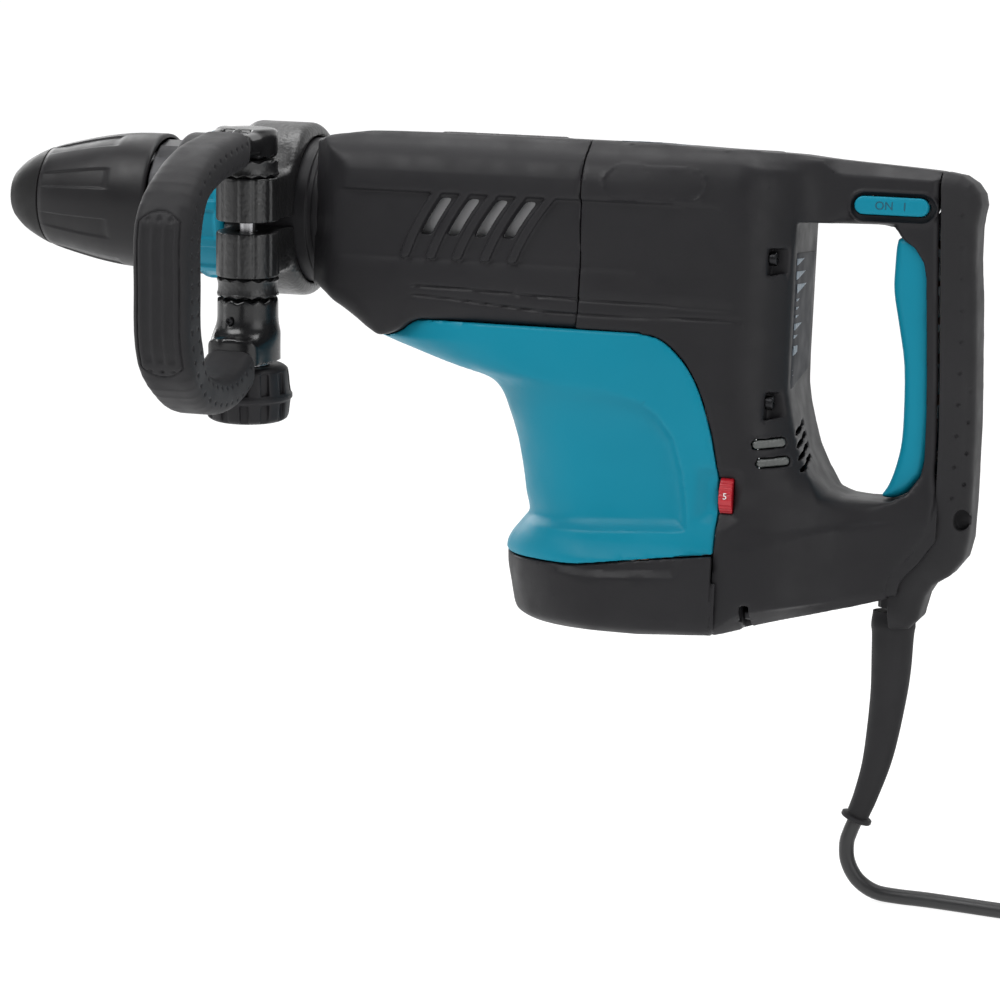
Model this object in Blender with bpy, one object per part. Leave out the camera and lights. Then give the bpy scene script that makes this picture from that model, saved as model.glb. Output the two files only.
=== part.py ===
"""Electric demolition hammer with an SDS-max style holder, a swivelling side grip and a rear D-handle.

Sizes are in millimetres in the tool's own frame: x runs from the nose tip to the rear grip, z = 0 is the
barrel axis, and -y is the operator's left. ROOT then puts the rear grip's centre at the world origin.
"""
import math

import bmesh
import bpy
from mathutils import Matrix, Vector

MM = 0.001
TURNED_STEPS = 20
GAP = 0.35                       # clearance between neighbouring pieces
WALL = 3.0                       # moulded shell thickness

# Rear grip, which is the origin of the finished model
GRIP_X, GRIP_Z = 560.0, -70.0

# Barrel line, along x
CAP_END = 22.0
SLEEVE_START, SLEEVE_END, SLEEVE_R = 22.3, 98.0, 39.6
NECK_R = 36.5
COLLAR_START, COLLAR_END, COLLAR_R = 108.5, 124.8, 41.0
RING_START, RING_END, RING_R = 125.1, 148.2, 43.0
BARREL_START, BARREL_SHOULDER, BARREL_END = 126.0, 149.0, 222.0
BARREL_R, BARREL_TAIL_R = 41.5, 37.5
BAND_START, BAND_END, BAND_R, BAND_BORE = 149.5, 194.0, 51.0, 42.4
SHANK_R = 9.3

# Housings
COVER_START, COVER_END = 205.0, 361.6
TOP_Z, COVER_FLOOR_Z = 47.3, -56.0
BODY_HALF = 53.0
MOTOR_X = 385.0                  # vertical motor axis
BASE_Z = -223.0
SEAM = [(553.0, 39.2), (556.0, -20.0), (559.0, -73.6), (560.5, -115.0), (559.6, -151.0),
        (551.0, -168.6), (538.3, -186.0), (538.3, -213.6)]
HANDLE_HALF = 22.0
CORD_X, CORD_DUCT_R = 538.3, 13.0
# Housing sections. Motor: (z, front, rear, half width, nose depth). Block: (z, front, rear, half width,
# rear rounding). Arm: (x, half width, low, high). Cover: (x, top, floor, half width on top, half width)
MOTOR_STATIONS = [(-56.4, 274, 398, 55.5, 62), (-65.4, 256, 415, 56, 66), (-69.8, 239, 419.2, 54, 78),
                  (-76, 258, 425.4, 55, 64), (-82, 279, 431.5, 55, 60), (-89, 303, 434.4, 53, 55),
                  (-98, 310, 437.8, 51, 50), (-116, 317, 442.2, 49.5, 48), (-136, 322, 446.3, 49.5, 48),
                  (-152, 325, 446.6, 50.5, 50)]
BLOCK_TOP, BLOCK_LOW, LEDGE_TOP, LEDGE_LOW = 46.6, -219.5, -55.8, -56.0
BLOCK_STATIONS = [(BLOCK_TOP, 362, 466, 36, 20), (40, 362, 474, 44, 26), (16, 362, 478, 51.5, 32),
                  (-22, 362, 477.8, 53.5, 34), (LEDGE_TOP, 362, 477.7, 54, 34),
                  (LEDGE_LOW, 399.2, 477.7, 54, 34),
                  (-65.4, 416.2, 477.9, 54.5, 34), (-82, 432.8, 478.4, 54.5, 34), (-98, 439.2, 482.4, 55, 35),
                  (-116, 443.6, 488, 55.5, 38), (-136, 447.6, 501, 56, 44), (-160, 447.6, 510, 57, 50),
                  (-200, 447.6, 511, 57, 50), (BLOCK_LOW, 447.6, 500, 54, 44)]
UNDERSIDE = [(447.4, -219.9), (462, -216.2), (470, -213.4), (500, -206.0), (516.2, -201.8)]
ARM_STATIONS = [(449, 56, -219, -152), (470, 50, -212, -146), (500, 37, -204.5, -139),
                (530, 26, -198, -138), (550, 21.5, -194, -140)]
COVER_STATIONS = [(COVER_START, 41.2, -41.0, 22.0, 43.5), (COVER_START + 6, 43.6, -47.0, 28.0, 49.0),
                  (222, 45.5, -54.5, 34.0, 51.5), (238, TOP_Z, -68.4, 37.0, 52.5),
                  (255, TOP_Z, -64.8, 38.0, BODY_HALF), (273, TOP_Z, COVER_FLOOR_Z, 38.0, BODY_HALF),
                  (COVER_END, TOP_Z - 0.3, COVER_FLOOR_Z, 38.0, BODY_HALF)]
HANDLE_REAR = [(538.75, -213.6), (550.7, -212.7), (556.3, -208.2), (559.7, -194.0), (560.5, -189.3),
               (570.6, -181.3), (577.0, -172.3), (579.6, -161.5), (579.9, -142.0), (579.7, -100.0),
               (578.7, -77.5), (576.3, -30.4), (574.2, -8.5), (573.9, 10.2), (575.7, 22.0), (574.4, 28.0),
               (570.3, 33.5), (563.7, 37.5), (556.0, 38.9)]
HOLE_FRONT = [(477.9, 7.6), (521.8, 8.6), (528.1, 7.6), (531.5, 4.5), (534.5, 1.2), (541.3, -3.0),
              (546.8, -11.0), (548.5, -19.0), (550.4, -48.0), (552.2, -78.0), (553.0, -97.0),
              (553.4, -118.0), (551.8, -127.0), (545.0, -137.0), (537.4, -141.6), (531.0, -142.3),
              (519.0, -142.4), (509.2, -141.6), (500.7, -138.6), (492.3, -129.4), (486.5, -116.9),
              (482.8, -104.4), (480.0, -93.3), (478.1, -82.5), (477.8, -66.4), (477.8, -22.0)]
TRIGGER_OUTLINE = [(533.4, -2.2), (532.0, -16.5), (532.4, -29.0), (536.1, -45.9), (540.2, -67.6),
                   (541.5, -95.7), (540.9, -112.5), (538.0, -125.4), (534.7, -132.6), (531.6, -136.2),
                   (537.0, -136.6), (543.8, -133.2), (549.0, -126.5), (553.6, -122.0), (555.6, -97.0),
                   (554.6, -70.0), (552.4, -19.0), (551.4, 7.0), (546.0, 10.5), (541.0, 7.0), (540.2, 0.5)]
TRIGGER_PIVOT = (546.2, 4.5)
TRIGGER_HALF = 18.4
LAMPS = (("power_lamp", 471.6, -112.6), ("service_lamp", 474.2, -122.6))
LAMP_Y, LAMP_TURN, LAMP_SLANT = -46.0, math.radians(39), math.radians(5)
# Screws sunk in corner notches: (name, notch's front wall x, centre y, centre z)
SCREWS = (("housing_screw_upper", 465.6, -40.2, -12.2), ("housing_screw_lower", 467.8, -40.6, -90.8),
          ("base_screw", 462.4, -40.2, -207.0))

# Side grip, built upright and then turned about the barrel axis
SIDE_TURN = math.radians(6.0)
COLUMN_X, COLUMN_Y, COLUMN_R = 173.0, -68.0, 17.8
COLUMN_Z = {"arm_top": 52.5, "ring_top": 36.4, "lug_top": 26.0, "gap_top": 1.3, "gap_bottom": -4.7,
            "lug_bottom": -30.1, "ring_bottom": -41.7, "boss_bottom": -77.5, "knob_bottom": -112.0}
BAR_Y, ARM_TOP_Z, ARM_LOW_Z = -183.0, 41.5, -80.0
CORE_STEPS, RUBBER_STEPS = 16, 22

# Crank drive
CRANK_X, CRANK_THROW, ROD_LENGTH = 345.0, 16.0, 60.0
PINION_TEETH, GEAR_TEETH = 7, 28
GEAR_MODULE = (MOTOR_X - CRANK_X) * 2 / (PINION_TEETH + GEAR_TEETH)
CYLINDER_R = 18.0

# Cord
CORD_D = 8.5
FLOOR_Z = -370.25
LYING_Z = FLOOR_Z + CORD_D / 2
GUARD_POINTS = [(538.3, 0, -205.0), (538.6, 0, -222.0), (538.3, 0, -250.0), (534.5, 0, -286.0),
                (529.0, 0, -309.0), (523.5, 0, -325.0)]
GUARD_R = [11.2, 12.6, 12.2, 11.4, 10.3, 9.2, 8.2, 7.4, 6.9, 6.6, 6.4, 6.3]
CORD_ROUTE = [(523.2, 0.0, -325.9), (521.0, 0.0, -332.0), (519.4, 0.0, -339.0), (520.6, 0.0, -349.0),
              (526.5, 0.0, -358.6), (536.5, 0.0, -364.6), (549.0, 0.0, LYING_Z),
              (566.0, -1.0, LYING_Z), (588.0, -4.5, LYING_Z), (610.0, -8.2, LYING_Z),
              (631.0, -9.4, LYING_Z), (650.4, -9.25, LYING_Z)]
COIL_X, COIL_Y, COIL_INNER, COIL_OUTER = 686.0, 62.0, 33.0, 75.5
TIE = 1.2                        # strap thickness, which also lifts the coil off the floor
COIL_LOW = FLOOR_Z + TIE + 0.3
COIL_HIGH = COIL_LOW + 4 * CORD_D
PLUG_X, PLUG_START, PLUG_Z = COIL_X + 71.25, COIL_Y + 36.5, COIL_LOW + 1.5 * CORD_D - 1.5

BLACK = ("black_plastic", (0.022, 0.022, 0.025), 0.5, 0.0)
RUBBER = ("soft_grip", (0.03, 0.03, 0.033), 0.65, 0.0)
TEAL = ("teal_plastic", (0.01, 0.235, 0.34), 0.4, 0.0)
SATIN = ("satin_black_metal", (0.012, 0.012, 0.013), 0.4, 0.6)
STEEL = ("steel", (0.5, 0.5, 0.52), 0.3, 1.0)
ALLOY = ("cast_alloy", (0.6, 0.6, 0.62), 0.45, 1.0)
COPPER = ("copper", (0.6, 0.28, 0.14), 0.35, 1.0)
RED = ("red_plastic", (0.45, 0.02, 0.03), 0.4, 0.0)
CLEAR = ("clear_lens", (0.75, 0.78, 0.8), 0.1, 0.0)
LABEL = ("label", (0.1, 0.11, 0.13), 0.35, 0.3)
CARBON = ("carbon", (0.05, 0.05, 0.05), 0.6, 0.2)
GREEN = ("circuit_board", (0.02, 0.13, 0.06), 0.5, 0.0)


# ---------------------------------------------------------------- modelling helpers

def clear_scene():
    for old in list(bpy.data.objects):
        bpy.data.objects.remove(old)


def material(spec):
    name, colour, roughness, metallic = spec
    found = bpy.data.materials.get(name)
    if found:
        return found
    made = bpy.data.materials.new(name)
    made.use_nodes = True
    shader = made.node_tree.nodes["Principled BSDF"]
    shader.inputs["Base Color"].default_value = (*colour, 1.0)
    shader.inputs["Roughness"].default_value = roughness
    shader.inputs["Metallic"].default_value = metallic
    return made


def empty(name, place, parent=None, turn_x=0.0):
    made = bpy.data.objects.new(name, None)
    bpy.context.scene.collection.objects.link(made)
    made.location = Vector(place) * MM
    made.rotation_euler = (turn_x, 0.0, 0.0)
    made.parent = parent
    return made


def face_outwards(bm):
    if bm.calc_volume(signed=True) < 0:
        bmesh.ops.reverse_faces(bm, faces=bm.faces)


def node(name, bm, spec, parent, pivot=(0.0, 0.0, 0.0), sharp=35.0):
    """Turns a bmesh in tool millimetres into a named object whose origin is at pivot."""
    bmesh.ops.remove_doubles(bm, verts=bm.verts, dist=0.002)
    face_outwards(bm)
    bmesh.ops.translate(bm, vec=-Vector(pivot), verts=bm.verts)
    bmesh.ops.scale(bm, vec=(MM, MM, MM), verts=bm.verts)
    mesh = bpy.data.meshes.new(name)
    bm.to_mesh(mesh)
    bm.free()
    mesh.materials.append(material(spec))
    mesh.shade_smooth()
    mesh.set_sharp_from_angle(angle=math.radians(sharp))
    made = bpy.data.objects.new(name, mesh)
    bpy.context.scene.collection.objects.link(made)
    made.location = Vector(pivot) * MM
    made.parent = parent
    return made


def combine(first, second, operation):
    """EXACT boolean of two bmeshes, which it uses up."""
    pair = []
    for bm in (first, second):
        face_outwards(bm)
        mesh = bpy.data.meshes.new("operand")
        bm.to_mesh(mesh)
        bm.free()
        operand = bpy.data.objects.new("operand", mesh)
        bpy.context.scene.collection.objects.link(operand)
        pair.append(operand)
    tool = pair[0].modifiers.new("combine", "BOOLEAN")
    tool.operation, tool.object, tool.solver = operation, pair[1], "EXACT"
    bpy.context.view_layer.update()
    evaluated = pair[0].evaluated_get(bpy.context.evaluated_depsgraph_get())
    result = bmesh.new()
    result.from_mesh(evaluated.to_mesh())
    evaluated.to_mesh_clear()
    for operand in pair:
        mesh = operand.data
        bpy.data.objects.remove(operand)
        bpy.data.meshes.remove(mesh)
    bmesh.ops.remove_doubles(result, verts=result.verts, dist=0.002)
    bmesh.ops.dissolve_degenerate(result, edges=result.edges, dist=0.002)
    return result


def cut(body, *cutters):
    for cutter in cutters:
        body = combine(body, cutter, "DIFFERENCE")
    return body


def join(body, *others):
    for other in others:
        body = combine(body, other, "UNION")
    return body


def loft(rings, closed=False):
    """Skin through rings of equally many points, with flat caps unless the rings close on themselves."""
    bm = bmesh.new()
    rows = [[bm.verts.new(point) for point in ring] for ring in rings]
    count = len(rows[0])
    pairs = list(zip(rows, rows[1:]))
    if closed:
        pairs.append((rows[-1], rows[0]))
    for row, following in pairs:
        for i in range(count):
            j = (i + 1) % count
            bm.faces.new((row[i], row[j], following[j], following[i]))
    if not closed:
        bm.faces.new(rows[0][::-1])
        bm.faces.new(rows[-1])
    return bm


def placed(axis, along, a, b):
    """A point at a distance along an axis, with two coordinates across it."""
    return {"x": (along, a, b), "y": (a, along, b), "z": (a, b, along)}[axis]


def lathe(profile, axis="x", centre=(0.0, 0.0), steps=20):
    """Solid of revolution. The profile is a loop of (along, radius), and radius 0 is a point on the axis."""
    bm = bmesh.new()
    rows = []
    for along, radius in profile:
        if radius < 1e-6:
            rows.append([bm.verts.new(placed(axis, along, *centre))] * steps)
            continue
        angles = [2 * math.pi * (k + 0.5) / steps for k in range(steps)]
        rows.append([bm.verts.new(placed(axis, along, centre[0] + radius * math.cos(t),
                                         centre[1] + radius * math.sin(t))) for t in angles])
    for row, following in zip(rows, rows[1:] + rows[:1]):
        for i in range(steps):
            j = (i + 1) % steps
            corners = list(dict.fromkeys((row[i], row[j], following[j], following[i])))
            if len(corners) > 2:
                bm.faces.new(corners)
    return bm


def cylinder(axis, centre, radius, start, end, steps=24):
    return lathe([(start, 0.0), (start, radius), (end, radius), (end, 0.0)], axis, centre, steps)


def ring(axis, centre, inner, outer, start, end, steps=24):
    return lathe([(start, inner), (start, outer), (end, outer), (end, inner)], axis, centre, steps)


def box(x, y, z):
    corners = [[(a, b, c) for a, b in ((x[0], y[0]), (x[1], y[0]), (x[1], y[1]), (x[0], y[1]))] for c in z]
    return loft(corners)


def inset(outline, distance):
    """Moves each corner of a loop inwards, whichever way round it runs."""
    area = sum(a[0] * b[1] - b[0] * a[1] for a, b in zip(outline, outline[1:] + outline[:1]))
    side = 1.0 if area > 0 else -1.0
    moved = []
    for before, here, after in zip(outline[-1:] + outline[:-1], outline, outline[1:] + outline[:1]):
        first = (Vector(here) - Vector(before)).normalized()
        second = (Vector(after) - Vector(here)).normalized()
        normal = Vector((-(first.y + second.y), first.x + second.x)) * side
        scale = distance / max(0.35, normal.length / 2)
        moved.append(Vector(here) + normal.normalized() * scale)
    return [(point.x, point.y) for point in moved]


def prism(outline, half, chamfer=0.0, middle=0.0, axis="y"):
    """Extrudes a loop both ways from middle, with a chamfer along both rims."""
    layers = [(-half, 0.0), (half, 0.0)]
    if chamfer:
        layers = [(-half, chamfer), (chamfer - half, 0.0), (half - chamfer, 0.0), (half, chamfer)]
    return loft([[placed(axis, middle + y, u, v) for u, v in inset(outline, edge)] for y, edge in layers])


def stadium(x, z, half_length, half_height, corner_steps=4):
    points = []
    for k in range(corner_steps + 1):
        turn = math.pi * (k / corner_steps - 0.5)
        points.append((x + half_length - half_height + half_height * math.cos(turn),
                       z + half_height * math.sin(turn)))
    return points + [(2 * x - u, 2 * z - v) for u, v in points]


def smooth_path(points, count):
    """Catmull-Rom curve through the points, read at evenly spread places."""
    knots = [Vector(p) for p in points]
    knots = [2 * knots[0] - knots[1]] + knots + [2 * knots[-1] - knots[-2]]
    fine = []
    for a, b, c, d in zip(knots, knots[1:], knots[2:], knots[3:]):
        for k in range(20):
            t = k / 20
            fine.append(0.5 * (2 * b + (c - a) * t + (2 * a - 5 * b + 4 * c - d) * t * t
                               + (3 * b - a - 3 * c + d) * t ** 3))
    fine.append(knots[-2])
    lengths = [0.0]
    for a, b in zip(fine, fine[1:]):
        lengths.append(lengths[-1] + (b - a).length)
    spread = []
    k = 0
    for i in range(count):
        target = lengths[-1] * i / (count - 1)
        while k < len(fine) - 2 and lengths[k + 1] < target:
            k += 1
        share = (target - lengths[k]) / max(1e-9, lengths[k + 1] - lengths[k])
        spread.append(fine[k].lerp(fine[k + 1], share))
    return spread


def sweep(path, sections, side=Vector((0, 1, 0))):
    """Skins loops of (across, up) offsets along a path; side is the across direction."""
    rings = []
    for i, point in enumerate(path):
        ahead = (path[min(i + 1, len(path) - 1)] - path[max(i - 1, 0)]).normalized()
        up = ahead.cross(side).normalized()
        rings.append([point + side * across + up * rise for across, rise in sections[i]])
    return loft(rings)


def oval(half_across, half_up, steps=16, square=2.6):
    """Superellipse loop."""
    loop = []
    for k in range(steps):
        t = 2 * math.pi * k / steps
        c, s = math.cos(t), math.sin(t)
        loop.append((half_across * math.copysign(abs(c) ** (2 / square), c),
                     half_up * math.copysign(abs(s) ** (2 / square), s)))
    return loop


# ---------------------------------------------------------------- barrel line

def tool_holder():
    outer = [(3, 13), (21, 19.6), (62, 20), (62, 24), (98.6, 24), (98.6, NECK_R), (125.3, NECK_R),
             (125.3, 33.4), (149.6, 33.4)]
    bore = [(149.6, 15.2), (97, 15.2), (91, SHANK_R), (3, SHANK_R)]
    body = lathe(outer + bore, steps=TURNED_STEPS)
    slots = [box((35, 54), (-3.6, 3.6), (side * 15.2 - 6.5, side * 15.2 + 6.5)) for side in (1, -1)]
    return cut(body, *slots)


def chuck_cap():
    return lathe([(2.6, 10.4), (0, 10.4), (0.6, 13.2), (3.2, 16.2), (7.2, 19.8), (12.5, 22.9),
                  (CAP_END, 26.7), (CAP_END, 20.4), (2.6, 13.5)], steps=TURNED_STEPS)


def chuck_sleeve():
    outer = [(SLEEVE_START, 26.8), (29.9, 29.7), (41.5, 32.8), (54.4, 35.7), (67.2, 38.0), (80, 39.3),
             (94, SLEEVE_R), (SLEEVE_END, 38.6)]
    inner = [(SLEEVE_END, 37.2), (86, 37.2), (50.5, 32.5), (50.5, 20.5), (SLEEVE_START, 20.5)]
    return lathe(outer + inner, steps=TURNED_STEPS)


def coil_spring(axis, centre, radius, wire, start, end, turns, per_turn=12, sides=5):
    path = []
    for k in range(turns * per_turn + 1):
        t = 2 * math.pi * k / per_turn
        along = start + wire + (end - start - 2 * wire) * k / (turns * per_turn)
        path.append(Vector(placed(axis, along, centre[0] + radius * math.cos(t),
                                  centre[1] + radius * math.sin(t))))
    rings = []
    for i, point in enumerate(path):
        ahead = (path[min(i + 1, len(path) - 1)] - path[max(i - 1, 0)]).normalized()
        outward = (point - Vector(placed(axis, 0, *centre))) * Vector(placed(axis, 0, 1, 1))
        outward.normalize()
        up = ahead.cross(outward).normalized()
        rings.append([point + wire * (math.cos(2 * math.pi * s / sides) * outward
                                      + math.sin(2 * math.pi * s / sides) * up) for s in range(sides)])
    return loft(rings)


def change_ring():
    """Grip ring with twelve finger pockets round its rim."""
    pockets, steps = 12, 48
    outer = []
    for along, depth in ((RING_START, 1.8), (RING_START + 2.5, 0.0), (RING_END - 5, 0.0), (RING_END, 1.0)):
        loop = []
        for k in range(steps):
            t = 2 * math.pi * (k + 0.5) / steps
            pocket = 1.4 if k % (steps // pockets) in (1, 2) and along < RING_END - 4 else 0.0
            radius = RING_R - depth - pocket
            loop.append((along, radius * math.cos(t), radius * math.sin(t)))
        outer.append(loop)
    inner = []
    for along in (RING_END, RING_START):
        inner.append([(along, 37.4 * math.cos(2 * math.pi * (k + 0.5) / steps),
                       37.4 * math.sin(2 * math.pi * (k + 0.5) / steps)) for k in range(steps)])
    return loft(outer + inner, closed=True)


def barrel():
    return lathe([(BARREL_START, 33.8), (BARREL_START, 37.0), (BARREL_SHOULDER, 37.0),
                  (BARREL_SHOULDER, BARREL_R),
                  (COVER_START - GAP, BARREL_R), (COVER_START - GAP, BARREL_TAIL_R),
                  (BARREL_END, BARREL_TAIL_R),
                  (BARREL_END, 22.1), (150.4, 22.1), (150.4, 33.8)], steps=TURNED_STEPS)


def barrel_line(root, holder, sleeve, collar):
    node("barrel", barrel(), BLACK, root)
    node("tool_holder", tool_holder(), STEEL, holder)
    node("chuck_cap", chuck_cap(), RUBBER, holder)
    for name, side in (("lock_roller_upper", 1), ("lock_roller_lower", -1)):
        roller = cylinder("x", (0.0, side * 13.2), 3.2, 37, 52, 12)
        node(name, roller, STEEL, holder)
    spring = coil_spring("x", (0.0, 0.0), 28.0, 1.2, 51.0, 98.2, 5, per_turn=11, sides=4)
    node("sleeve_spring", spring, STEEL, holder)
    node("chuck_sleeve", chuck_sleeve(), BLACK, sleeve)
    rounded = [(COLLAR_START, 37.0), (COLLAR_START, 39.0), (COLLAR_START + 3, COLLAR_R),
               (COLLAR_END - 3, COLLAR_R), (COLLAR_END, 39.5), (COLLAR_END, 37.0)]
    node("ring_collar", lathe(rounded, steps=TURNED_STEPS), BLACK, collar)
    node("change_ring", change_ring(), TEAL, collar)


# ---------------------------------------------------------------- impact mechanism

def impact_line(root, frames):
    tube = ring("x", (0.0, 0.0), CYLINDER_R, 21.7, 152.5, 300.0, TURNED_STEPS)
    node("cylinder", tube, STEEL, root)
    bolt = lathe([(74, 0), (74, 7.6), (77, 8.8), (103.5, 8.8), (104.5, 14.7), (139, 14.7), (140, 12.4),
                  (146, 12.4), (146, 0)], steps=24)
    node("impact_bolt", bolt, STEEL, frames["impact_bolt"])
    hammer = lathe([(178, 0), (178, 11.5), (190, 12.5), (190.5, 17.7), (218, 17.7), (218, 0)],
                   steps=TURNED_STEPS)
    node("striker", hammer, STEEL, frames["striker"])
    pin_x = CRANK_X - CRANK_THROW - ROD_LENGTH
    piston = cylinder("x", (0.0, 0.0), 17.7, 249.0, 281.0, TURNED_STEPS)
    slot = box((257.0, 282.0), (-19.0, 19.0), (-6.5, 6.5))
    piston = cut(piston, slot, cylinder("z", (pin_x, 0.0), 4.8, -20, 20, 12))
    node("piston", piston, ALLOY, frames["piston"])
    pin = cylinder("z", (pin_x, 0.0), 4.3, -15.5, 15.5, 12)
    node("piston_pin", pin, STEEL, frames["piston"])
    rod = prism([(pin_x + 5, -5.5), (CRANK_X - CRANK_THROW - 8, -6.5), (CRANK_X - CRANK_THROW - 8, 6.5),
                 (pin_x + 5, 5.5)], 4.6, 1.0, axis="z")
    rod = join(rod, cylinder("z", (pin_x, 0.0), 8.4, -5.8, 5.8, 14),
               cylinder("z", (CRANK_X - CRANK_THROW, 0.0), 11.0, -5.8, 5.8, 16))
    rod = cut(rod, cylinder("z", (pin_x, 0.0), 4.8, -9, 9, 12),
              cylinder("z", (CRANK_X - CRANK_THROW, 0.0), 6.8, -9, 9, 12))
    node("connecting_rod", rod, STEEL, frames["rod"], (pin_x, 0, 0))


def gear_outline(x, teeth, turn):
    """Straight-flanked teeth a little thinner than half the pitch, so that a pair runs with backlash."""
    pitch_r = GEAR_MODULE * teeth / 2
    step = 2 * math.pi / teeth
    points = []
    for k in range(teeth):
        middle = turn + k * step
        for offset, radius in ((-0.32, -1.15), (-0.13, 0.85), (0.13, 0.85), (0.32, -1.15)):
            r = pitch_r + radius * GEAR_MODULE
            points.append((x + r * math.cos(middle + offset * step), r * math.sin(middle + offset * step)))
    return points


def crank_gear():
    teeth = prism(gear_outline(CRANK_X, GEAR_TEETH, math.pi / GEAR_TEETH), 4.0, axis="z", middle=-38.0)
    shaft = cylinder("z", (CRANK_X, 0.0), 8.0, -45.5, -20.0, 12)
    disc = cylinder("z", (CRANK_X, 0.0), 24.0, -22.0, -14.0, 20)
    pin = cylinder("z", (CRANK_X - CRANK_THROW, 0.0), 6.0, -15.0, -7.0, 12)
    return join(teeth, shaft, disc, pin)


def crank_case():
    outer = [(BARREL_END + GAP, 38), (250, 43), (400, 43), (404, 39)]
    rings = []
    for x, half in outer:
        rings.append([(x, y, z) for y, z in ((-half, -44), (-half + 8, -50), (half - 8, -50), (half, -44),
                                             (half, 24), (half - 12, 37), (-half + 12, 37), (-half, 24))])
    body = loft(rings)
    chamber = box((246, 396), (-38.5, 38.5), (-46.2, 33))
    cylinder_bore = cylinder("x", (0.0, 0.0), 22.1, 200, 250, TURNED_STEPS)
    shaft_hole = cylinder("z", (MOTOR_X, 0.0), 9.8, -60, -40, 20)
    return cut(body, chamber, cylinder_bore, shaft_hole)


def motor_line(root, armature):
    axis = (MOTOR_X, 0.0)
    pinion = prism(gear_outline(MOTOR_X, PINION_TEETH, math.pi), 5.5, axis="z", middle=-38.5)
    shaft = cylinder("z", axis, 4.9, -218.0, -36.0, 16)
    node("armature_shaft", join(pinion, shaft), STEEL, armature, (MOTOR_X, 0, 0))
    core = ring("z", axis, 5.25, 26.5, -150, -95, 24)
    node("armature_core", core, STEEL, armature, (MOTOR_X, 0, 0))
    node("commutator", ring("z", axis, 5.25, 14.0, -187, -166, 24), COPPER, armature, (MOTOR_X, 0, 0))
    node("cooling_fan", cooling_fan(), BLACK, armature, (MOTOR_X, 0, 0))
    node("upper_bearing", ring("z", axis, 5.3, 13.0, -66, -58.5, 24), STEEL, root)
    node("lower_bearing", ring("z", axis, 5.3, 11.0, -213, -206, 24), STEEL, root)
    node("field_stator", ring("z", axis, 27.5, 41.5, -151, -96, 24), STEEL, root)
    for name, side in (("brush_holder_front", -1), ("brush_holder_rear", 1)):
        x = sorted((MOTOR_X + side * 14.5, MOTOR_X + side * 36.0))
        node(name, box(x, (-5, 5), (-182, -171)), CARBON, root)


def cooling_fan():
    blades, hub, rim = 9, 12.0, 37.0
    outline = []
    for k in range(blades):
        start = 2 * math.pi * k / blades
        for radius, turn in ((hub, 0.0), (rim, 0.18), (rim, 0.30), (hub, 0.34)):
            outline.append((MOTOR_X + radius * math.cos(start + turn), radius * math.sin(start + turn)))
    vanes = prism(outline, 5.0, axis="z", middle=-77.0)
    plate = cylinder("z", (MOTOR_X, 0.0), 38.5, -84.5, -81.0, 24)
    return cut(join(vanes, plate), cylinder("z", (MOTOR_X, 0.0), 5.25, -90, -60, 16))


# ---------------------------------------------------------------- housings

def cover_ring(x, top, floor, half_top, half_side):
    right = [(half_top, top), (half_top + (half_side - half_top) * 0.62, top - 7.5), (half_side, top - 30),
             (half_side + 0.8, -22), (half_side, max(floor + 8, -45)), (half_side - 5, floor)]
    return [(x, y, z) for y, z in right] + [(x, -y, z) for y, z in right[::-1]]


def cover_loft(shrink, start, end):
    places = {0: start, 1: start + 6, len(COVER_STATIONS) - 1: end}
    rings = []
    for k, (x, top, floor, half_top, side) in enumerate(COVER_STATIONS):
        rings.append(cover_ring(places.get(k, x), top - shrink, floor + shrink, half_top - shrink * 0.6,
                                side - shrink))
    return loft(rings)


def front_cover():
    shell = cut(cover_loft(0.0, COVER_START, COVER_END), cover_loft(WALL, COVER_START + WALL, COVER_END + 4),
                cylinder("x", (0.0, 0.0), BARREL_TAIL_R + GAP, 190, 212, TURNED_STEPS))
    for k in range(4):
        x = 274.0 + 16.3 * k
        outline = [(x - 3, -10), (x + 3, -10), (x + 14, 11), (x + 8, 11)]
        shell = cut(shell, prism(outline, 70))
    for k in range(5):
        x = 268.0 + 15.0 * k
        slot = loft([[(x, -28, z), (x + 5, -28, z), (x + 5, 28, z), (x, 28, z)] for z in (40, 52)])
        shell = cut(shell, slot)
    return shell


def nose_ring(front, rear, half, z, depth):
    """Plan-view loop with an elliptical front, straight sides and a flat rear; z is a function of x."""
    steps = 6
    right = [(rear, half)]
    for k in range(steps + 1):
        t = math.pi / 2 * k / steps
        right.append((front + depth - depth * math.sin(t), half * math.cos(t)))
    loop = right + [(x, -y) for x, y in right[-2::-1]]
    return [(x, y, z(x)) for x, y in loop]


def base_seam(x):
    """Height of the joint between the motor housing and the base cover."""
    return -187.0 + (x - 316.0) * 0.115


def motor_loft(shrink, open_rear):
    rings = []
    for z, front, rear, half, depth in MOTOR_STATIONS:
        height = z - shrink if z > -60 else z
        rings.append(nose_ring(front + shrink, rear + open_rear, half - shrink, lambda x, h=height: h, depth))
    for drop, front, half in ((14, 321, 57), (0.2, 316.2, 63.5)):
        low = drop if not open_rear else drop - 9 * (drop < 1)
        rings.append(nose_ring(front + shrink, 446.6 + open_rear, half - shrink,
                               lambda x, d=low: base_seam(x) + d, 62))
    return loft(rings[::-1])


def motor_housing():
    return cut(motor_loft(0.0, 0.0), motor_loft(WALL, 6.0), cylinder("z", (MOTOR_X, 0.0), 20.0, -64, -50, 24))


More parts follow.
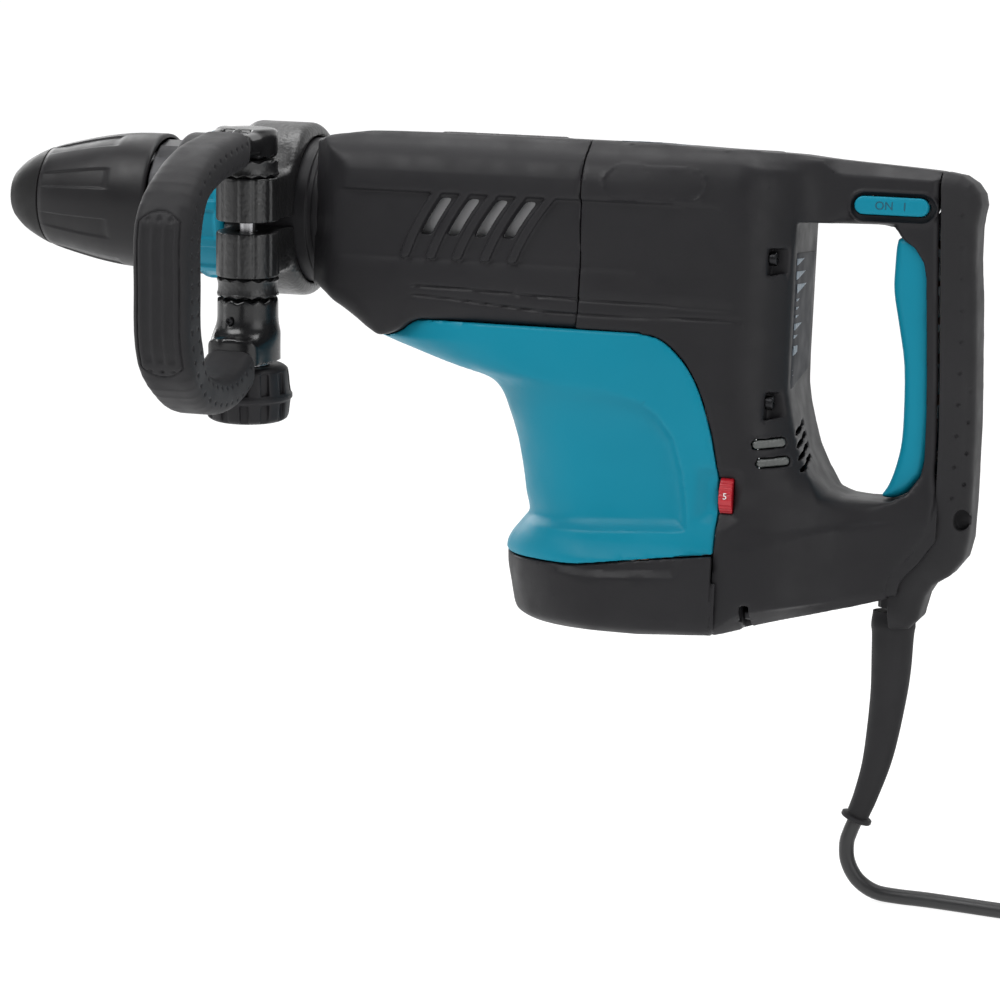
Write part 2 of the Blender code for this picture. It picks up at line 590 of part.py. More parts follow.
def base_cover():
    def solid(shrink):
        rings = []
        for drop, front, half in ((-0.2, 316.4, 63.5), (-14, 318.6, 63)):
            rise = 9 * (shrink > 0) if drop > -1 else 0
            rings.append(nose_ring(front + shrink, 446.8 + 6 * (shrink > 0), half - shrink,
                                   lambda x, d=drop + rise: base_seam(x) + d, 62))
        for z, front, half in ((-214, 321.5, 61.5), (BASE_Z, 327, 57)):
            rings.append(nose_ring(front + shrink, 446.8 + 6 * (shrink > 0), half - shrink,
                                   lambda x, h=z + (shrink if z == BASE_Z else 0): h, 62))
        return loft(rings[::-1])
    shell = cut(solid(0.0), solid(WALL))
    seat = ring("z", (MOTOR_X, 0.0), 11.35, 15.0, BASE_Z + 1.0, -205.0, 24)
    return join(shell, seat)


def block_ring(front, rear, half, z, rear_round):
    """Plan-view loop with a flat front and rounded rear corners."""
    steps = 3
    right = [(front, half)]
    for k in range(steps + 1):
        t = math.pi / 2 * k / steps
        right.append((rear - rear_round + rear_round * math.sin(t),
                      half - 0.9 * rear_round * (1 - math.cos(t))))
    return [(x, y, z) for x, y in right] + [(x, -y, z) for x, y in right[::-1]]


def block_loft(shrink):
    rings = []
    for z, front, rear, half, rounding in BLOCK_STATIONS:
        height, start = z, front
        if shrink:
            height = {BLOCK_TOP: z - shrink, BLOCK_LOW: z + shrink, LEDGE_TOP: z + shrink,
                      LEDGE_LOW: z + shrink - 0.3}.get(z, z)
            start = {LEDGE_LOW: 412.0, -65.4: 420.0}.get(z, front - 6)
        rings.append(block_ring(start, rear - shrink, half - shrink, height, rounding))
    return loft(rings[::-1])


def arm_loft(shrink):
    """Lower arm, narrowing from the motor end to the rear grip."""
    rings = []
    for x, half, low, high in ARM_STATIONS:
        h, a, b = half - shrink, low + shrink, high - shrink
        rings.append([(x + (4 if shrink and x == 550 else 0), y, z) for y, z in (
            (h * 0.8, a), (h, a + 14), (h, b - 16), (h * 0.72, b), (-h * 0.72, b), (-h, b - 16), (-h, a + 14),
            (-h * 0.8, a))])
    return loft(rings)


def underside(lift):
    """Everything below the rear housing's rising floor."""
    floor = [(x, z + lift) for x, z in UNDERSIDE]
    return prism(floor + [(516.2, -240), (440, -240), (440, -219.9 + lift)], 80)


def rear_housing():
    outline = [(466, 45.0), (492, 43.4)] + SEAM + [(525, -213.6), (519.5, -210.5), (515, -202.0), (466, -195)]
    slab = prism(outline, HANDLE_HALF, 3.0)
    bosses = [box((x - WALL, x + 14), (y - 8, y + 8), (z - 10, z + 10)) for _, x, y, z in SCREWS]
    body = cut(join(block_loft(0.0), slab, arm_loft(0.0)), underside(0.0))
    hollow = cut(join(block_loft(WALL), arm_loft(WALL)), underside(WALL), *bosses)
    upper_duct = box((470, 566), (-18.9, 18.9), (12.0, 36.0))
    grip_duct = box((541.0, 566), (-18.9, 18.9), (-168.0, 20.0))
    cord_duct = cylinder("z", (CORD_X, 0.0), CORD_DUCT_R, -230, -186, 24)
    body = cut(body, hollow, upper_duct, grip_duct, cord_duct, prism(HOLE_FRONT, 70))
    beyond_seam = prism(SEAM + [(640, -240), (640, 60)], 80)
    lug_room = box((537.0, 548.0), (-18.9, 18.9), (-7.0, 18.0))
    return cut(body, beyond_seam, lug_room, *openings_of_rear_housing())


def openings_of_rear_housing():
    bar_slot = prism(stadium(528.8, 19.0, 21.8, 5.4), 40)
    armature_hole = cylinder("z", (MOTOR_X, 0.0), 20.0, -64, -50, 24)
    dial_window = box((447.0, 455.8), (-66, -50), (-153.4, -131.0))
    screw_pockets = [box((x, x + 15.5), (-62, y + 4.6), (z - 7.0, z + 7.0)) for _, x, y, z in SCREWS]
    lamp_windows = [lamp(x, z, 11.4, 3.0) for _, x, z in LAMPS]
    return [bar_slot, armature_hole, dial_window, *screw_pockets, *lamp_windows]


def lamp(x, z, half_length, half_height, half_depth=3.4):
    """Small lens block set across the rounded rear corner."""
    turned = Matrix.Translation((x, LAMP_Y, z)) @ Matrix.Rotation(LAMP_TURN, 4, "Z")
    turned = turned @ Matrix.Rotation(-LAMP_SLANT, 4, "Y")
    bm = box((-half_length, half_length), (-half_depth, half_depth), (-half_height, half_height))
    bmesh.ops.transform(bm, matrix=turned, verts=bm.verts)
    return bm


def handle_cover():
    seam = [(x + GAP + 0.1, z) for x, z in SEAM]
    seam[0] = (SEAM[0][0] + GAP + 0.1, SEAM[0][1] - 0.2)
    shell = prism(seam[:-1] + HANDLE_REAR, HANDLE_HALF, 3.0)
    hollow = box((549.0, 571.0), (-18.9, 18.9), (-168.0, 30.0))
    cord_duct = cylinder("z", (CORD_X, 0.0), CORD_DUCT_R, -230, -184, 24)
    return cut(shell, hollow, cord_duct)


def trigger():
    body = prism(TRIGGER_OUTLINE, TRIGGER_HALF, 4.0)
    return cut(body, cylinder("y", TRIGGER_PIVOT, 2.3, -30, 30, 12))


def housings(root, frames):
    node("front_cover", front_cover(), BLACK, root)
    node("crank_case", crank_case(), ALLOY, root)
    node("motor_housing", motor_housing(), TEAL, root)
    node("base_cover", base_cover(), BLACK, root)
    node("rear_housing", rear_housing(), BLACK, root)
    node("handle_cover", handle_cover(), RUBBER, root)
    node("trigger", trigger(), TEAL, frames["trigger"], (TRIGGER_PIVOT[0], 0, TRIGGER_PIVOT[1]))
    node("trigger_pin", cylinder("y", TRIGGER_PIVOT, 2.0, -18.6, 18.6, 12), STEEL, root)
    spring = coil_spring("x", (0.0, -25.0), 4.0, 0.6, 554.6, 563.0, 3, per_turn=10, sides=4)
    node("trigger_spring", spring, STEEL, root)
    bar = prism(stadium(528.8, 19.0, 21.3, 4.95), 23.4, 0.8, middle=-1.6)
    node("lock_bar", bar, TEAL, frames["lock_bar"], (528.8, 0, 19.0))
    wheel = cylinder("x", (-46.4, -142.2), 12.0, 447.6, 455.0, 24)
    node("speed_dial", wheel, RED, frames["dial"], (451.3, -46.4, -142.2))
    for name, x, z in LAMPS:
        node(name, lamp(x, z, 11.0, 2.6, 3.0), CLEAR, root)
    for name, x, y, z in SCREWS:
        node(name, cylinder("x", (y, z), 3.9, x + 0.2, x + 4.4, 12), STEEL, root)
    node("switch_body", box((564.5, 570.5), (-9, 9), (-88, -36)), BLACK, root)
    node("control_board", box((456, 512), (-24, 24), (-192, -180)), GREEN, root)
    plate = box((477.95, 478.6), (-20.5, 20.5), (-70, -9))
    node("name_plate", plate, LABEL, root)
    node("top_label", box((371, 412), (-25, 25), (46.95, 47.6)), LABEL, root)


# ---------------------------------------------------------------- side grip

def clamp_band():
    profile = [(BAND_START, BAND_BORE), (BAND_START, 46.5), (BAND_START + 4, BAND_R - 0.4),
               (BAND_START + 8, BAND_R),
               (BAND_END - 8, BAND_R), (BAND_END - 3, BAND_R - 2.5), (BAND_END, 44.5), (BAND_END, BAND_BORE)]
    z = COLUMN_Z
    body = lathe(profile, steps=24)
    parts = []
    for low, high in ((z["gap_bottom"] - 0.2, z["lug_top"]), (z["lug_bottom"], z["gap_bottom"])):
        parts.append(cylinder("z", (COLUMN_X, COLUMN_Y), COLUMN_R, low, high, 24))
        parts.append(box((COLUMN_X - 15, COLUMN_X + 15), (COLUMN_Y + 2, -42.6), (low, high)))
    body = join(body, *parts)
    split = box((140, 205), (-95, -30), (z["gap_bottom"], z["gap_top"]))
    bolt_hole = cylinder("z", (COLUMN_X, COLUMN_Y), 5.4, -60, 60, 16)
    return cut(body, split, bolt_hole)


def grip_path(count):
    """Centre line of the D-shaped side grip, from the upper arm's hard end to the boss."""
    points = [(COLUMN_Y - 12, ARM_TOP_Z + 3.5), (-110, ARM_TOP_Z + 1), (-140, ARM_TOP_Z - 3),
              (-166, ARM_TOP_Z - 14),
              (BAR_Y, 8), (BAR_Y - 1, -20), (BAR_Y, -46), (-168, -68), (-144, ARM_LOW_Z + 0.5),
              (-115, ARM_LOW_Z), (COLUMN_Y - 18, ARM_LOW_Z + 11)]
    return smooth_path([(COLUMN_X - 1.0, y, z) for y, z in points], count)


def side_grip_frame():
    """Hard core: an eye over the column's top, a core along the D and the boss under the column."""
    z = COLUMN_Z
    path = grip_path(CORE_STEPS)
    core = sweep(path, [oval(8.0, 6.0, 8)] * len(path), Vector((1, 0, 0)))
    eye = cylinder("z", (COLUMN_X, COLUMN_Y), 16.0, z["ring_top"] + GAP, z["arm_top"], 24)
    eye_arm = box((COLUMN_X - 15, COLUMN_X + 15), (-100, COLUMN_Y), (z["ring_top"] + 1.5, z["arm_top"] - 0.6))
    boss = cylinder("z", (COLUMN_X, COLUMN_Y), 16.8, z["boss_bottom"], z["ring_bottom"] - GAP, 24)
    boss_arm = box((COLUMN_X - 15, COLUMN_X + 15), (-93, COLUMN_Y), (-84.0, -60.0))
    knob_room = cylinder("z", (COLUMN_X, COLUMN_Y), 27.0, -90, z["boss_bottom"] - 0.01, 24)
    body = join(core, eye, eye_arm, boss, boss_arm)
    hole = cylinder("z", (COLUMN_X, COLUMN_Y), 5.4, -120, z["arm_top"] - 6.0, 16)
    return cut(body, hole, knob_room)


def side_grip_rubber():
    path = grip_path(RUBBER_STEPS)
    along = [k / (len(path) - 1) for k in range(len(path))]
    outer = []
    for share in along:
        bar = 1.0 if 0.36 < share < 0.66 else 0.0
        outer.append(oval(15.2 + 0.8 * bar, 10.0 + 4.0 * bar, 12, 3.0))
    sleeve = sweep(path, outer, Vector((1, 0, 0)))
    core = grip_path(CORE_STEPS)
    core = [core[0] * 2 - core[1]] + core + [core[-1] * 2 - core[-2]]
    bore = sweep(core, [oval(8.0 + GAP, 6.0 + GAP, 8)] * len(core), Vector((1, 0, 0)))
    trim_top = box((140, 205), (-100.4, -40), (20, 70))
    trim_low = box((140, 205), (-93.4, -40), (-110, -40))
    knob_room = cylinder("z", (COLUMN_X, COLUMN_Y), 27.0, -116, COLUMN_Z["boss_bottom"], 24)
    return cut(sleeve, bore, trim_top, trim_low, knob_room)


def clamp_knob():
    ribs, steps = 12, 36
    z = COLUMN_Z
    top, bottom = z["boss_bottom"] - 3.0, z["knob_bottom"]
    rings = []
    for height, radius, rib in ((top, 20.5, 0.0), (top - 2.5, 22.5, 1.6), (top - 16, 24.6, 1.6),
                                (top - 17.5, 25.2, 0.0),
                                (top - 19, 24.6, 1.6), (bottom + 2, 22.6, 1.6), (bottom, 20.5, 0.0)):
        loop = []
        for k in range(steps):
            t = 2 * math.pi * k / steps
            r = radius - (rib if k % (steps // ribs) in (0,) else 0.0)
            loop.append((COLUMN_X + r * math.cos(t), COLUMN_Y + r * math.sin(t), height))
        rings.append(loop)
    body = loft(rings)
    return cut(body, cylinder("z", (COLUMN_X, COLUMN_Y), 4.9, bottom + 8, top + 5, 16))


def side_grip(frames):
    z = COLUMN_Z
    pivot = (COLUMN_X, COLUMN_Y, 0.0)
    axis = (COLUMN_X, COLUMN_Y)
    node("clamp_band", clamp_band(), SATIN, frames["clamp"])
    node("upper_tooth_ring", ring("z", axis, 5.4, COLUMN_R - 0.3, z["lug_top"] + GAP, z["ring_top"] - GAP,
                                  24), SATIN,
         frames["clamp"])
    node("lower_tooth_ring", ring("z", axis, 5.4, COLUMN_R - 0.3, z["ring_bottom"] + GAP,
                                  z["lug_bottom"] - GAP, 24),
         SATIN, frames["clamp"])
    bolt = join(cylinder("z", axis, 4.5, z["knob_bottom"] + 9.0, z["arm_top"] - 12.0, 16),
                cylinder("z", axis, 5.0, z["arm_top"] - 13.0, z["arm_top"] - 6.4, 6))
    node("clamp_bolt", bolt, STEEL, frames["clamp"])
    node("side_grip_frame", side_grip_frame(), BLACK, frames["side_grip"], pivot)
    node("side_grip_rubber", side_grip_rubber(), RUBBER, frames["side_grip"], pivot)
    screw = cylinder("y", (COLUMN_X - 4.5, -54.0), 2.2, COLUMN_Y - 18.2, COLUMN_Y - 16.6, 12)
    node("boss_screw", screw, STEEL, frames["side_grip"], pivot)
    washer = ring("z", axis, 4.9, 12.5, z["boss_bottom"] - 2.6, z["boss_bottom"] - GAP, 24)
    node("knob_washer", washer, STEEL, frames["washer"], pivot)
    node("clamp_knob", clamp_knob(), BLACK, frames["knob"], pivot)


# ---------------------------------------------------------------- cord


def cord_guard():
    path = smooth_path(GUARD_POINTS, len(GUARD_R))
    side = Vector((0, 1, 0))
    loops = [[(radius * math.cos(2 * math.pi * k / 12),
               radius * math.sin(2 * math.pi * k / 12)) for k in range(12)]
             for radius in GUARD_R]
    body = sweep(path, loops, side)
    end, ahead = path[-1], (path[-1] - path[-2]).normalized()
    collar = sweep([end - ahead * 2.4, end], [loop_of(8.8), loop_of(8.8)], side)
    return join(body, collar)


def loop_of(radius, steps=12):
    return [(radius * math.cos(2 * math.pi * k / steps), radius * math.sin(2 * math.pi * k / steps))
            for k in range(steps)]


def cord_tube(root):
    curve = bpy.data.curves.new("cord", "CURVE")
    curve.dimensions, curve.bevel_depth, curve.bevel_resolution = "3D", CORD_D / 2 * MM, 2
    curve.use_fill_caps = True
    points = smooth_path(CORD_ROUTE, 20)
    spline = curve.splines.new("POLY")
    spline.points.add(len(points) - 1)
    for spot, point in zip(spline.points, points):
        spot.co = (*(point * MM), 1.0)
    curve.materials.append(material(RUBBER))
    cord = bpy.data.objects.new("cord", curve)
    bpy.context.scene.collection.objects.link(cord)
    cord.parent = root


def coil_tie():
    """Strap round the coil's section, on the far side from the plug."""
    x = (COIL_X - COIL_OUTER - GAP, COIL_X - COIL_INNER + 1.6)
    z = (COIL_LOW - 0.3, COIL_HIGH + 0.3)
    outer = box((x[0] - TIE, x[1] + TIE), (COIL_Y - 8, COIL_Y + 8), (z[0] - TIE, z[1] + TIE))
    return cut(outer, box(x, (COIL_Y - 20, COIL_Y + 20), z))


def plug():
    """Two-blade mains plug lying on its flat side."""
    def loop(y, half_x, half_z):
        chamfer = 0.3 * half_z
        corners = [(half_x, -half_z + chamfer), (half_x, half_z - chamfer), (half_x - chamfer, half_z),
                   (chamfer - half_x, half_z), (-half_x, half_z - chamfer), (-half_x, -half_z + chamfer),
                   (chamfer - half_x, -half_z), (half_x - chamfer, -half_z)]
        return [(PLUG_X + u, PLUG_START + y, PLUG_Z + v) for u, v in corners]
    body = loft([loop(0, 5, 5), loop(16, 6, 6), loop(17, 9, 9), loop(24, 13, 10.5), loop(46, 14, 11)])
    blades = [box((PLUG_X + side * 6.35 - 0.8, PLUG_X + side * 6.35 + 0.8),
                  (PLUG_START + 45, PLUG_START + 63.5), (PLUG_Z - 3.2, PLUG_Z + 3.2)) for side in (1, -1)]
    return join(body, *blades)


def cord_parts(root):
    cord_tube(root)
    coil = lathe([(COIL_LOW, COIL_INNER + 3), (COIL_LOW, COIL_OUTER - 3), (COIL_LOW + 3, COIL_OUTER),
                  (COIL_HIGH - 3, COIL_OUTER), (COIL_HIGH, COIL_OUTER - 3), (COIL_HIGH, COIL_INNER + 3),
                  (COIL_HIGH - 3, COIL_INNER), (COIL_LOW + 3, COIL_INNER)], "z", (COIL_X, COIL_Y), 24)
    node("cord_coil", coil, RUBBER, root)
    node("coil_tie", coil_tie(), BLACK, root)
    node("plug", plug(), RUBBER, root)


def main():
    clear_scene()
    root = empty("tool", (-GRIP_X, 0.0, -GRIP_Z))
    clamp = empty("clamp_frame", (0, 0, 0), root, SIDE_TURN)
    frames = {name: empty(name + "_pivot", (0, 0, 0), root) for name in (
        "holder", "sleeve", "collar", "impact_bolt", "striker", "piston", "rod", "crank", "armature",
        "trigger",
        "lock_bar", "dial")}
    frames.update({name: empty(name + "_pivot", (0, 0, 0), clamp) for name in ("side_grip", "washer",
                                                                               "knob")})
    frames["clamp"] = clamp
    barrel_line(root, frames["holder"], frames["sleeve"], frames["collar"])
    impact_line(root, frames)
    node("crank_gear", crank_gear(), STEEL, frames["crank"], (CRANK_X, 0, 0))
    motor_line(root, frames["armature"])
    housings(root, frames)
    side_grip(frames)
    node("cord_guard", cord_guard(), RUBBER, root)
    node("cord_clamp", cylinder("z", (CORD_X, 0.0), 9.0, -203.0, -197.0, 12), BLACK, root)
    cord_parts(root)


main()
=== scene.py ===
"""Looks of the electric demolition hammer: moulded housings, grips, metalwork, materials, cord and studio.

Shapes are given in the tool's own millimetres: x from the nose tip to the rear grip, z = 0 on the barrel
axis, -y towards the side grip. The large mouldings are distance fields turned into meshes.
"""

import math

import bmesh
import bpy
import numpy as np
import openvdb
from mathutils import Matrix, Vector


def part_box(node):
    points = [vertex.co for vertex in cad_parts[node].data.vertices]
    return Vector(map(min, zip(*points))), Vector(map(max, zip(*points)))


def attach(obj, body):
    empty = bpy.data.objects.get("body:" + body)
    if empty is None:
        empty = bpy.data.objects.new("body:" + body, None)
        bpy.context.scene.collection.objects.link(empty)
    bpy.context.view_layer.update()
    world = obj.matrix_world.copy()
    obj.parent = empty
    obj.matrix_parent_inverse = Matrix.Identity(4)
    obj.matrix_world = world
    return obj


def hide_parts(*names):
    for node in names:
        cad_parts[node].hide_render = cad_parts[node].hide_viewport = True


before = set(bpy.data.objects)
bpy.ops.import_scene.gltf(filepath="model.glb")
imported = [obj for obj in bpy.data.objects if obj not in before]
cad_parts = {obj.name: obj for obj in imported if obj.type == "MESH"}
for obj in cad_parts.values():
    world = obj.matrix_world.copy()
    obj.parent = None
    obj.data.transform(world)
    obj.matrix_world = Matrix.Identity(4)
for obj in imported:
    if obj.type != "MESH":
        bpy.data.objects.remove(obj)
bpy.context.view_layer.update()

MM = 0.001
NOSE_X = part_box("chuck_cap")[0][0]
AXIS_Z = (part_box("barrel")[0][2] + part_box("barrel")[1][2]) / 2
TOOL = Matrix.Translation((NOSE_X, 0.0, AXIS_Z)) @ Matrix.Scale(MM, 4)
SIDE_TURN = Matrix.Rotation(math.radians(6.0), 4, "X")
FLOOR_Z = -370.25


# ---- meshing of distance fields

class Block:
    """Evenly spaced points of a box in tool millimetres, as three arrays that broadcast together."""

    def __init__(self, low, high, step):
        self.low, self.step = np.array(low, np.float32), step
        axes = [np.arange(a, b + step, step, dtype=np.float32) for a, b in zip(low, high)]
        self.shape = tuple(len(axis) for axis in axes)
        self.x, self.y, self.z = (axis.reshape(shape) for axis, shape in zip(axes, ((-1, 1, 1), (1, -1, 1),
            (1, 1, -1))))
        self.side = np.abs(self.y)


def finish_object(name, mesh, spec, body, stands_for, sharp=38.0):
    mesh.materials.append(spec)
    mesh.shade_smooth()
    if sharp:
        mesh.set_sharp_from_angle(angle=math.radians(sharp))
    made = bpy.data.objects.new(name, mesh)
    bpy.context.scene.collection.objects.link(made)
    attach(made, body)
    if stands_for:
        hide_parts(*stands_for)
    return made


def moulded(name, low, high, step, field, spec, body, stands_for=(), turn=None, sharp=38.0):
    """Meshes the zero surface of field(block), which is negative inside the material."""
    block = Block(low, high, step * (1.0))
    values = np.array(np.broadcast_to(field(block), block.shape), np.float32)
    for side in (0, -1):
        values[side], values[:, side], values[:, :, side] = 9.0, 9.0, 9.0
    volume = openvdb.FloatGrid(9.0)
    volume.copyFromArray(np.clip(values, -9.0, 9.0))
    points, triangles, quads = volume.convertToPolygons(0.0, 0.02)
    points = block.low + points * block.step
    faces = [tuple(face[::-1]) for face in triangles.tolist()] + [tuple(face[::-1])
        for face in quads.tolist()]
    mesh = bpy.data.meshes.new(name)
    mesh.from_pydata(points.tolist(), [], faces)
    bm = bmesh.new()
    bm.from_mesh(mesh)
    if bm.calc_volume(signed=True) < 0:
        bmesh.ops.reverse_faces(bm, faces=bm.faces)
    bm.to_mesh(mesh)
    bm.free()
    mesh.transform(TOOL @ (turn or Matrix()))
    return finish_object(name, mesh, spec, body, stands_for, sharp)


def smooth(t, knots):
    """Monotone cubic through (t, value) knots, level beyond both ends."""
    at, value = np.array(knots, np.float64).T
    gap, rise = np.diff(at), np.diff(value) / np.diff(at)
    slope = np.zeros(len(at))
    same = rise[:-1] * rise[1:] > 0
    slope[1:-1][same] = 2 * rise[:-1][same] * rise[1:][same] / (rise[:-1] + rise[1:])[same]
    t = np.clip(t, at[0], at[-1])
    k = np.clip(np.searchsorted(at, t, side="right") - 1, 0, len(gap) - 1)
    u = (t - at[k]) / gap[k]
    return ((1 + 2 * u) * (1 - u) ** 2 * value[k] + u * (1 - u) ** 2 * gap[k] * slope[k] + u * u
        * (3 - 2 * u) * value[k + 1] + u * u * (u - 1) * gap[k] * slope[k + 1]).astype(np.float32)


def ramp(t, start, end):
    """0 before start, 1 after end, eased between."""
    u = np.clip((t - start) / (end - start), 0.0, 1.0)
    return u * u * (3 - 2 * u)


def meet(first, *rest):
    """Intersection of fields, with sharp edges."""
    for field in rest:
        first = np.maximum(first, field)
    return first


def join(first, *rest):
    """Union of fields, with sharp edges."""
    for field in rest:
        first = np.minimum(first, field)
    return first


def cut(body, shape, k=0.0):
    """body less shape, with the edge rounded over about k."""
    return smax(body, -shape, k) if k else np.maximum(body, -shape)


def bar(value, middle, half):
    """Field of a slab of a half-width about its middle."""
    return np.abs(value - middle) - half


def within(value, low, high):
    """Field of a slab between low and high."""
    return np.maximum(low - value, value - high)


def smax(a, b, k):
    """Intersection with its edge rounded over about k."""
    h = np.maximum(k - np.abs(a - b), 0.0) / k
    return np.maximum(a, b) + h * h * k / 4


def smin(a, b, k):
    return -smax(-a, -b, k)


def polygon(points, u, v):
    """Signed distance in a plane to a closed loop, negative inside."""
    u, v = np.broadcast_arrays(u, v)
    best = np.full(u.shape, 1e9, np.float32)
    inside = np.zeros(u.shape, bool)
    for (ax, az), (bx, bz) in zip(points, points[1:] + points[:1]):
        ex, ez = bx - ax, bz - az
        t = np.clip(((u - ax) * ex + (v - az) * ez) / (ex * ex + ez * ez), 0.0, 1.0)
        best = np.minimum(best, (u - ax - t * ex) ** 2 + (v - az - t * ez) ** 2)
        if az != bz:
            inside ^= ((az > v) != (bz > v)) & (u < ex * (v - az) / ez + ax)
    return np.where(inside, -1.0, 1.0) * np.sqrt(best)


def path_distance(points, u, v):
    """Distance in a plane to an open line, and how far along it the nearest point is."""
    u, v = np.broadcast_arrays(u, v)
    best = np.full(u.shape, 1e9, np.float32)
    along = np.zeros(u.shape, np.float32)
    done = 0.0
    for (ax, az), (bx, bz) in zip(points, points[1:]):
        ex, ez = bx - ax, bz - az
        length = math.hypot(ex, ez)
        t = np.clip(((u - ax) * ex + (v - az) * ez) / length ** 2, 0.0, 1.0)
        distance = (u - ax - t * ex) ** 2 + (v - az - t * ez) ** 2
        nearer = distance < best
        best, along = np.where(nearer, distance, best), np.where(nearer, done + t * length, along)
        done += length
    return np.sqrt(best), along


def curve_through(points, per_piece=8):
    """Catmull-Rom curve through points, as tuples."""
    knots = [Vector(p) for p in points]
    knots = [2 * knots[0] - knots[1]] + knots + [2 * knots[-1] - knots[-2]]
    found = []
    for a, b, c, d in zip(knots, knots[1:], knots[2:], knots[3:]):
        for k in range(per_piece):
            t = k / per_piece
            found.append(tuple(0.5 * (2 * b + (c - a) * t + (2 * a - 5 * b + 4 * c - d) * t * t
                + (3 * b - a - 3 * c + d) * t ** 3)))
    return found + [tuple(knots[-2])]


def closed_curve(points, per_piece=4):
    """Smooth loop through points."""
    looped = points[-2:] + points + points[:2]
    found = curve_through(looped, per_piece)
    return found[2 * per_piece:-3 * per_piece - 1 + per_piece]


def extruded(flat, across, edge):
    """Plate of outline field flat, with |across| as its second field, edges rounded to radius edge."""
    a, b = flat + edge, across + edge
    return np.hypot(np.maximum(a, 0), np.maximum(b, 0)) + np.minimum(np.maximum(a, b), 0) - edge


def cuboid(block, x, y, z, edge=0.5):
    a = np.abs(block.x - (x[0] + x[1]) / 2) - (x[1] - x[0]) / 2 + edge
    b = np.abs(block.y - (y[0] + y[1]) / 2) - (y[1] - y[0]) / 2 + edge
    c = np.abs(block.z - (z[0] + z[1]) / 2) - (z[1] - z[0]) / 2 + edge
    outside = np.sqrt(np.maximum(a, 0) ** 2 + np.maximum(b, 0) ** 2 + np.maximum(c, 0) ** 2)
    return outside + np.minimum(np.maximum(np.maximum(a, b), c), 0) - edge


def stadium(u, v, half_length, half_height):
    """Flat field of a slot with round ends, about its own centre."""
    return np.hypot(np.maximum(np.abs(u) - half_length + half_height, 0), v) - half_height


# ---- turned and swept pieces

def mesh_from(name, points, faces):
    mesh = bpy.data.meshes.new(name)
    mesh.from_pydata([tuple(p) for p in points], [], faces)
    bm = bmesh.new()
    bm.from_mesh(mesh)
    bmesh.ops.remove_doubles(bm, verts=bm.verts, dist=1e-5)
    bmesh.ops.dissolve_degenerate(bm, dist=1e-5, edges=bm.edges)
    if bm.calc_volume(signed=True) < 0:
        bmesh.ops.reverse_faces(bm, faces=bm.faces)
    bm.to_mesh(mesh)
    bm.free()
    return mesh


def turned(name, profile, spec, body, stands_for=(), around=128, relief=None, sharp=38.0):
    """Closed surface of revolution about x from (x, r) corners, with r lowered by relief(x, angle)."""
    angles = np.linspace(0, 2 * math.pi, around, endpoint=False)
    rows = []
    for (ax, ar), (bx, br) in zip(profile, profile[1:] + profile[:1]):
        pieces = max(1, int(math.hypot(bx - ax, br - ar) / (1.6 if relief else 6.0)))
        rows += [(ax + (bx - ax) * k / pieces, ar + (br - ar) * k / pieces) for k in range(pieces)]
    points = []
    for x, r in rows:
        radius = np.full(around, r) - (relief(x, r, angles) if relief else 0.0)
        points += [(x, rr * math.cos(a), rr * math.sin(a)) for rr, a in zip(radius, angles)]
    faces = []
    for i in range(len(rows)):
        j = (i + 1) % len(rows)
        for k in range(around):
            n = (k + 1) % around
            faces.append((i * around + k, i * around + n, j * around + n, j * around + k))
    mesh = mesh_from(name, points, faces)
    mesh.transform(TOOL)
    return finish_object(name, mesh, spec, body, stands_for, sharp)


def rounded_profile(corners, radius, steps=3):
    """Rounds the corners of a closed (x, r) profile."""
    found = []
    count = len(corners)
    for k in range(count):
        a, b, c = (Vector(corners[(k + s) % count]) for s in (-1, 0, 1))
        before, after = a - b, c - b
        cut_back = min(radius, before.length * 0.45, after.length * 0.45)
        start, end = b + before.normalized() * cut_back, b + after.normalized() * cut_back
        for s in range(steps + 1):
            t = s / steps
            found.append(tuple((1 - t) ** 2 * start + 2 * t * (1 - t) * b + t * t * end))
    return found


def tube(name, points, radii, spec, body, stands_for=(), sides=24):
    """Tube with a round section along smooth points, its radius given along it."""
    path = [Vector(p) for p in points]
    loops = []
    up = Vector((0, 1, 0))
    for i, point in enumerate(path):
        ahead = (path[min(i + 1, len(path) - 1)] - path[max(i - 1, 0)]).normalized()
        side = (up - ahead * up.dot(ahead)).normalized()
        other = ahead.cross(side)
        up = side
        loops.append([point + radii[i] * (math.cos(2 * math.pi * k / sides) * side + math.sin(2 * math.pi
            * k / sides) * other) for k in range(sides)])
    flat = [p for loop in loops for p in loop]
    faces = [(i * sides + k, i * sides + (k + 1) % sides, (i + 1) * sides + (k + 1) % sides, (i + 1) * sides
        + k) for i in range(len(loops) - 1) for k in range(sides)]
    faces += [tuple(range(sides - 1, -1, -1)), tuple(range((len(loops) - 1) * sides, len(loops) * sides))]
    mesh = mesh_from(name, flat, faces)
    mesh.transform(TOOL)
    return finish_object(name, mesh, spec, body, stands_for)


# ---- materials

def tree(name):
    made = bpy.data.materials.new(name)
    made.use_nodes = True
    return made, made.node_tree.nodes, made.node_tree.links, made.node_tree.nodes["Principled BSDF"]


def noise(nodes, links, coords, scale, detail):
    made = nodes.new("ShaderNodeTexNoise")
    made.inputs["Scale"].default_value, made.inputs["Detail"].default_value = scale, detail
    links.new(coords, made.inputs["Vector"])
    return made


def spread(nodes, links, source, low, high, at=(0.3, 0.7)):
    made = nodes.new("ShaderNodeMapRange")
    made.inputs["From Min"].default_value, made.inputs["From Max"].default_value = at
    made.inputs["To Min"].default_value, made.inputs["To Max"].default_value = low, high
    links.new(source, made.inputs["Value"])
    return made.outputs["Result"]


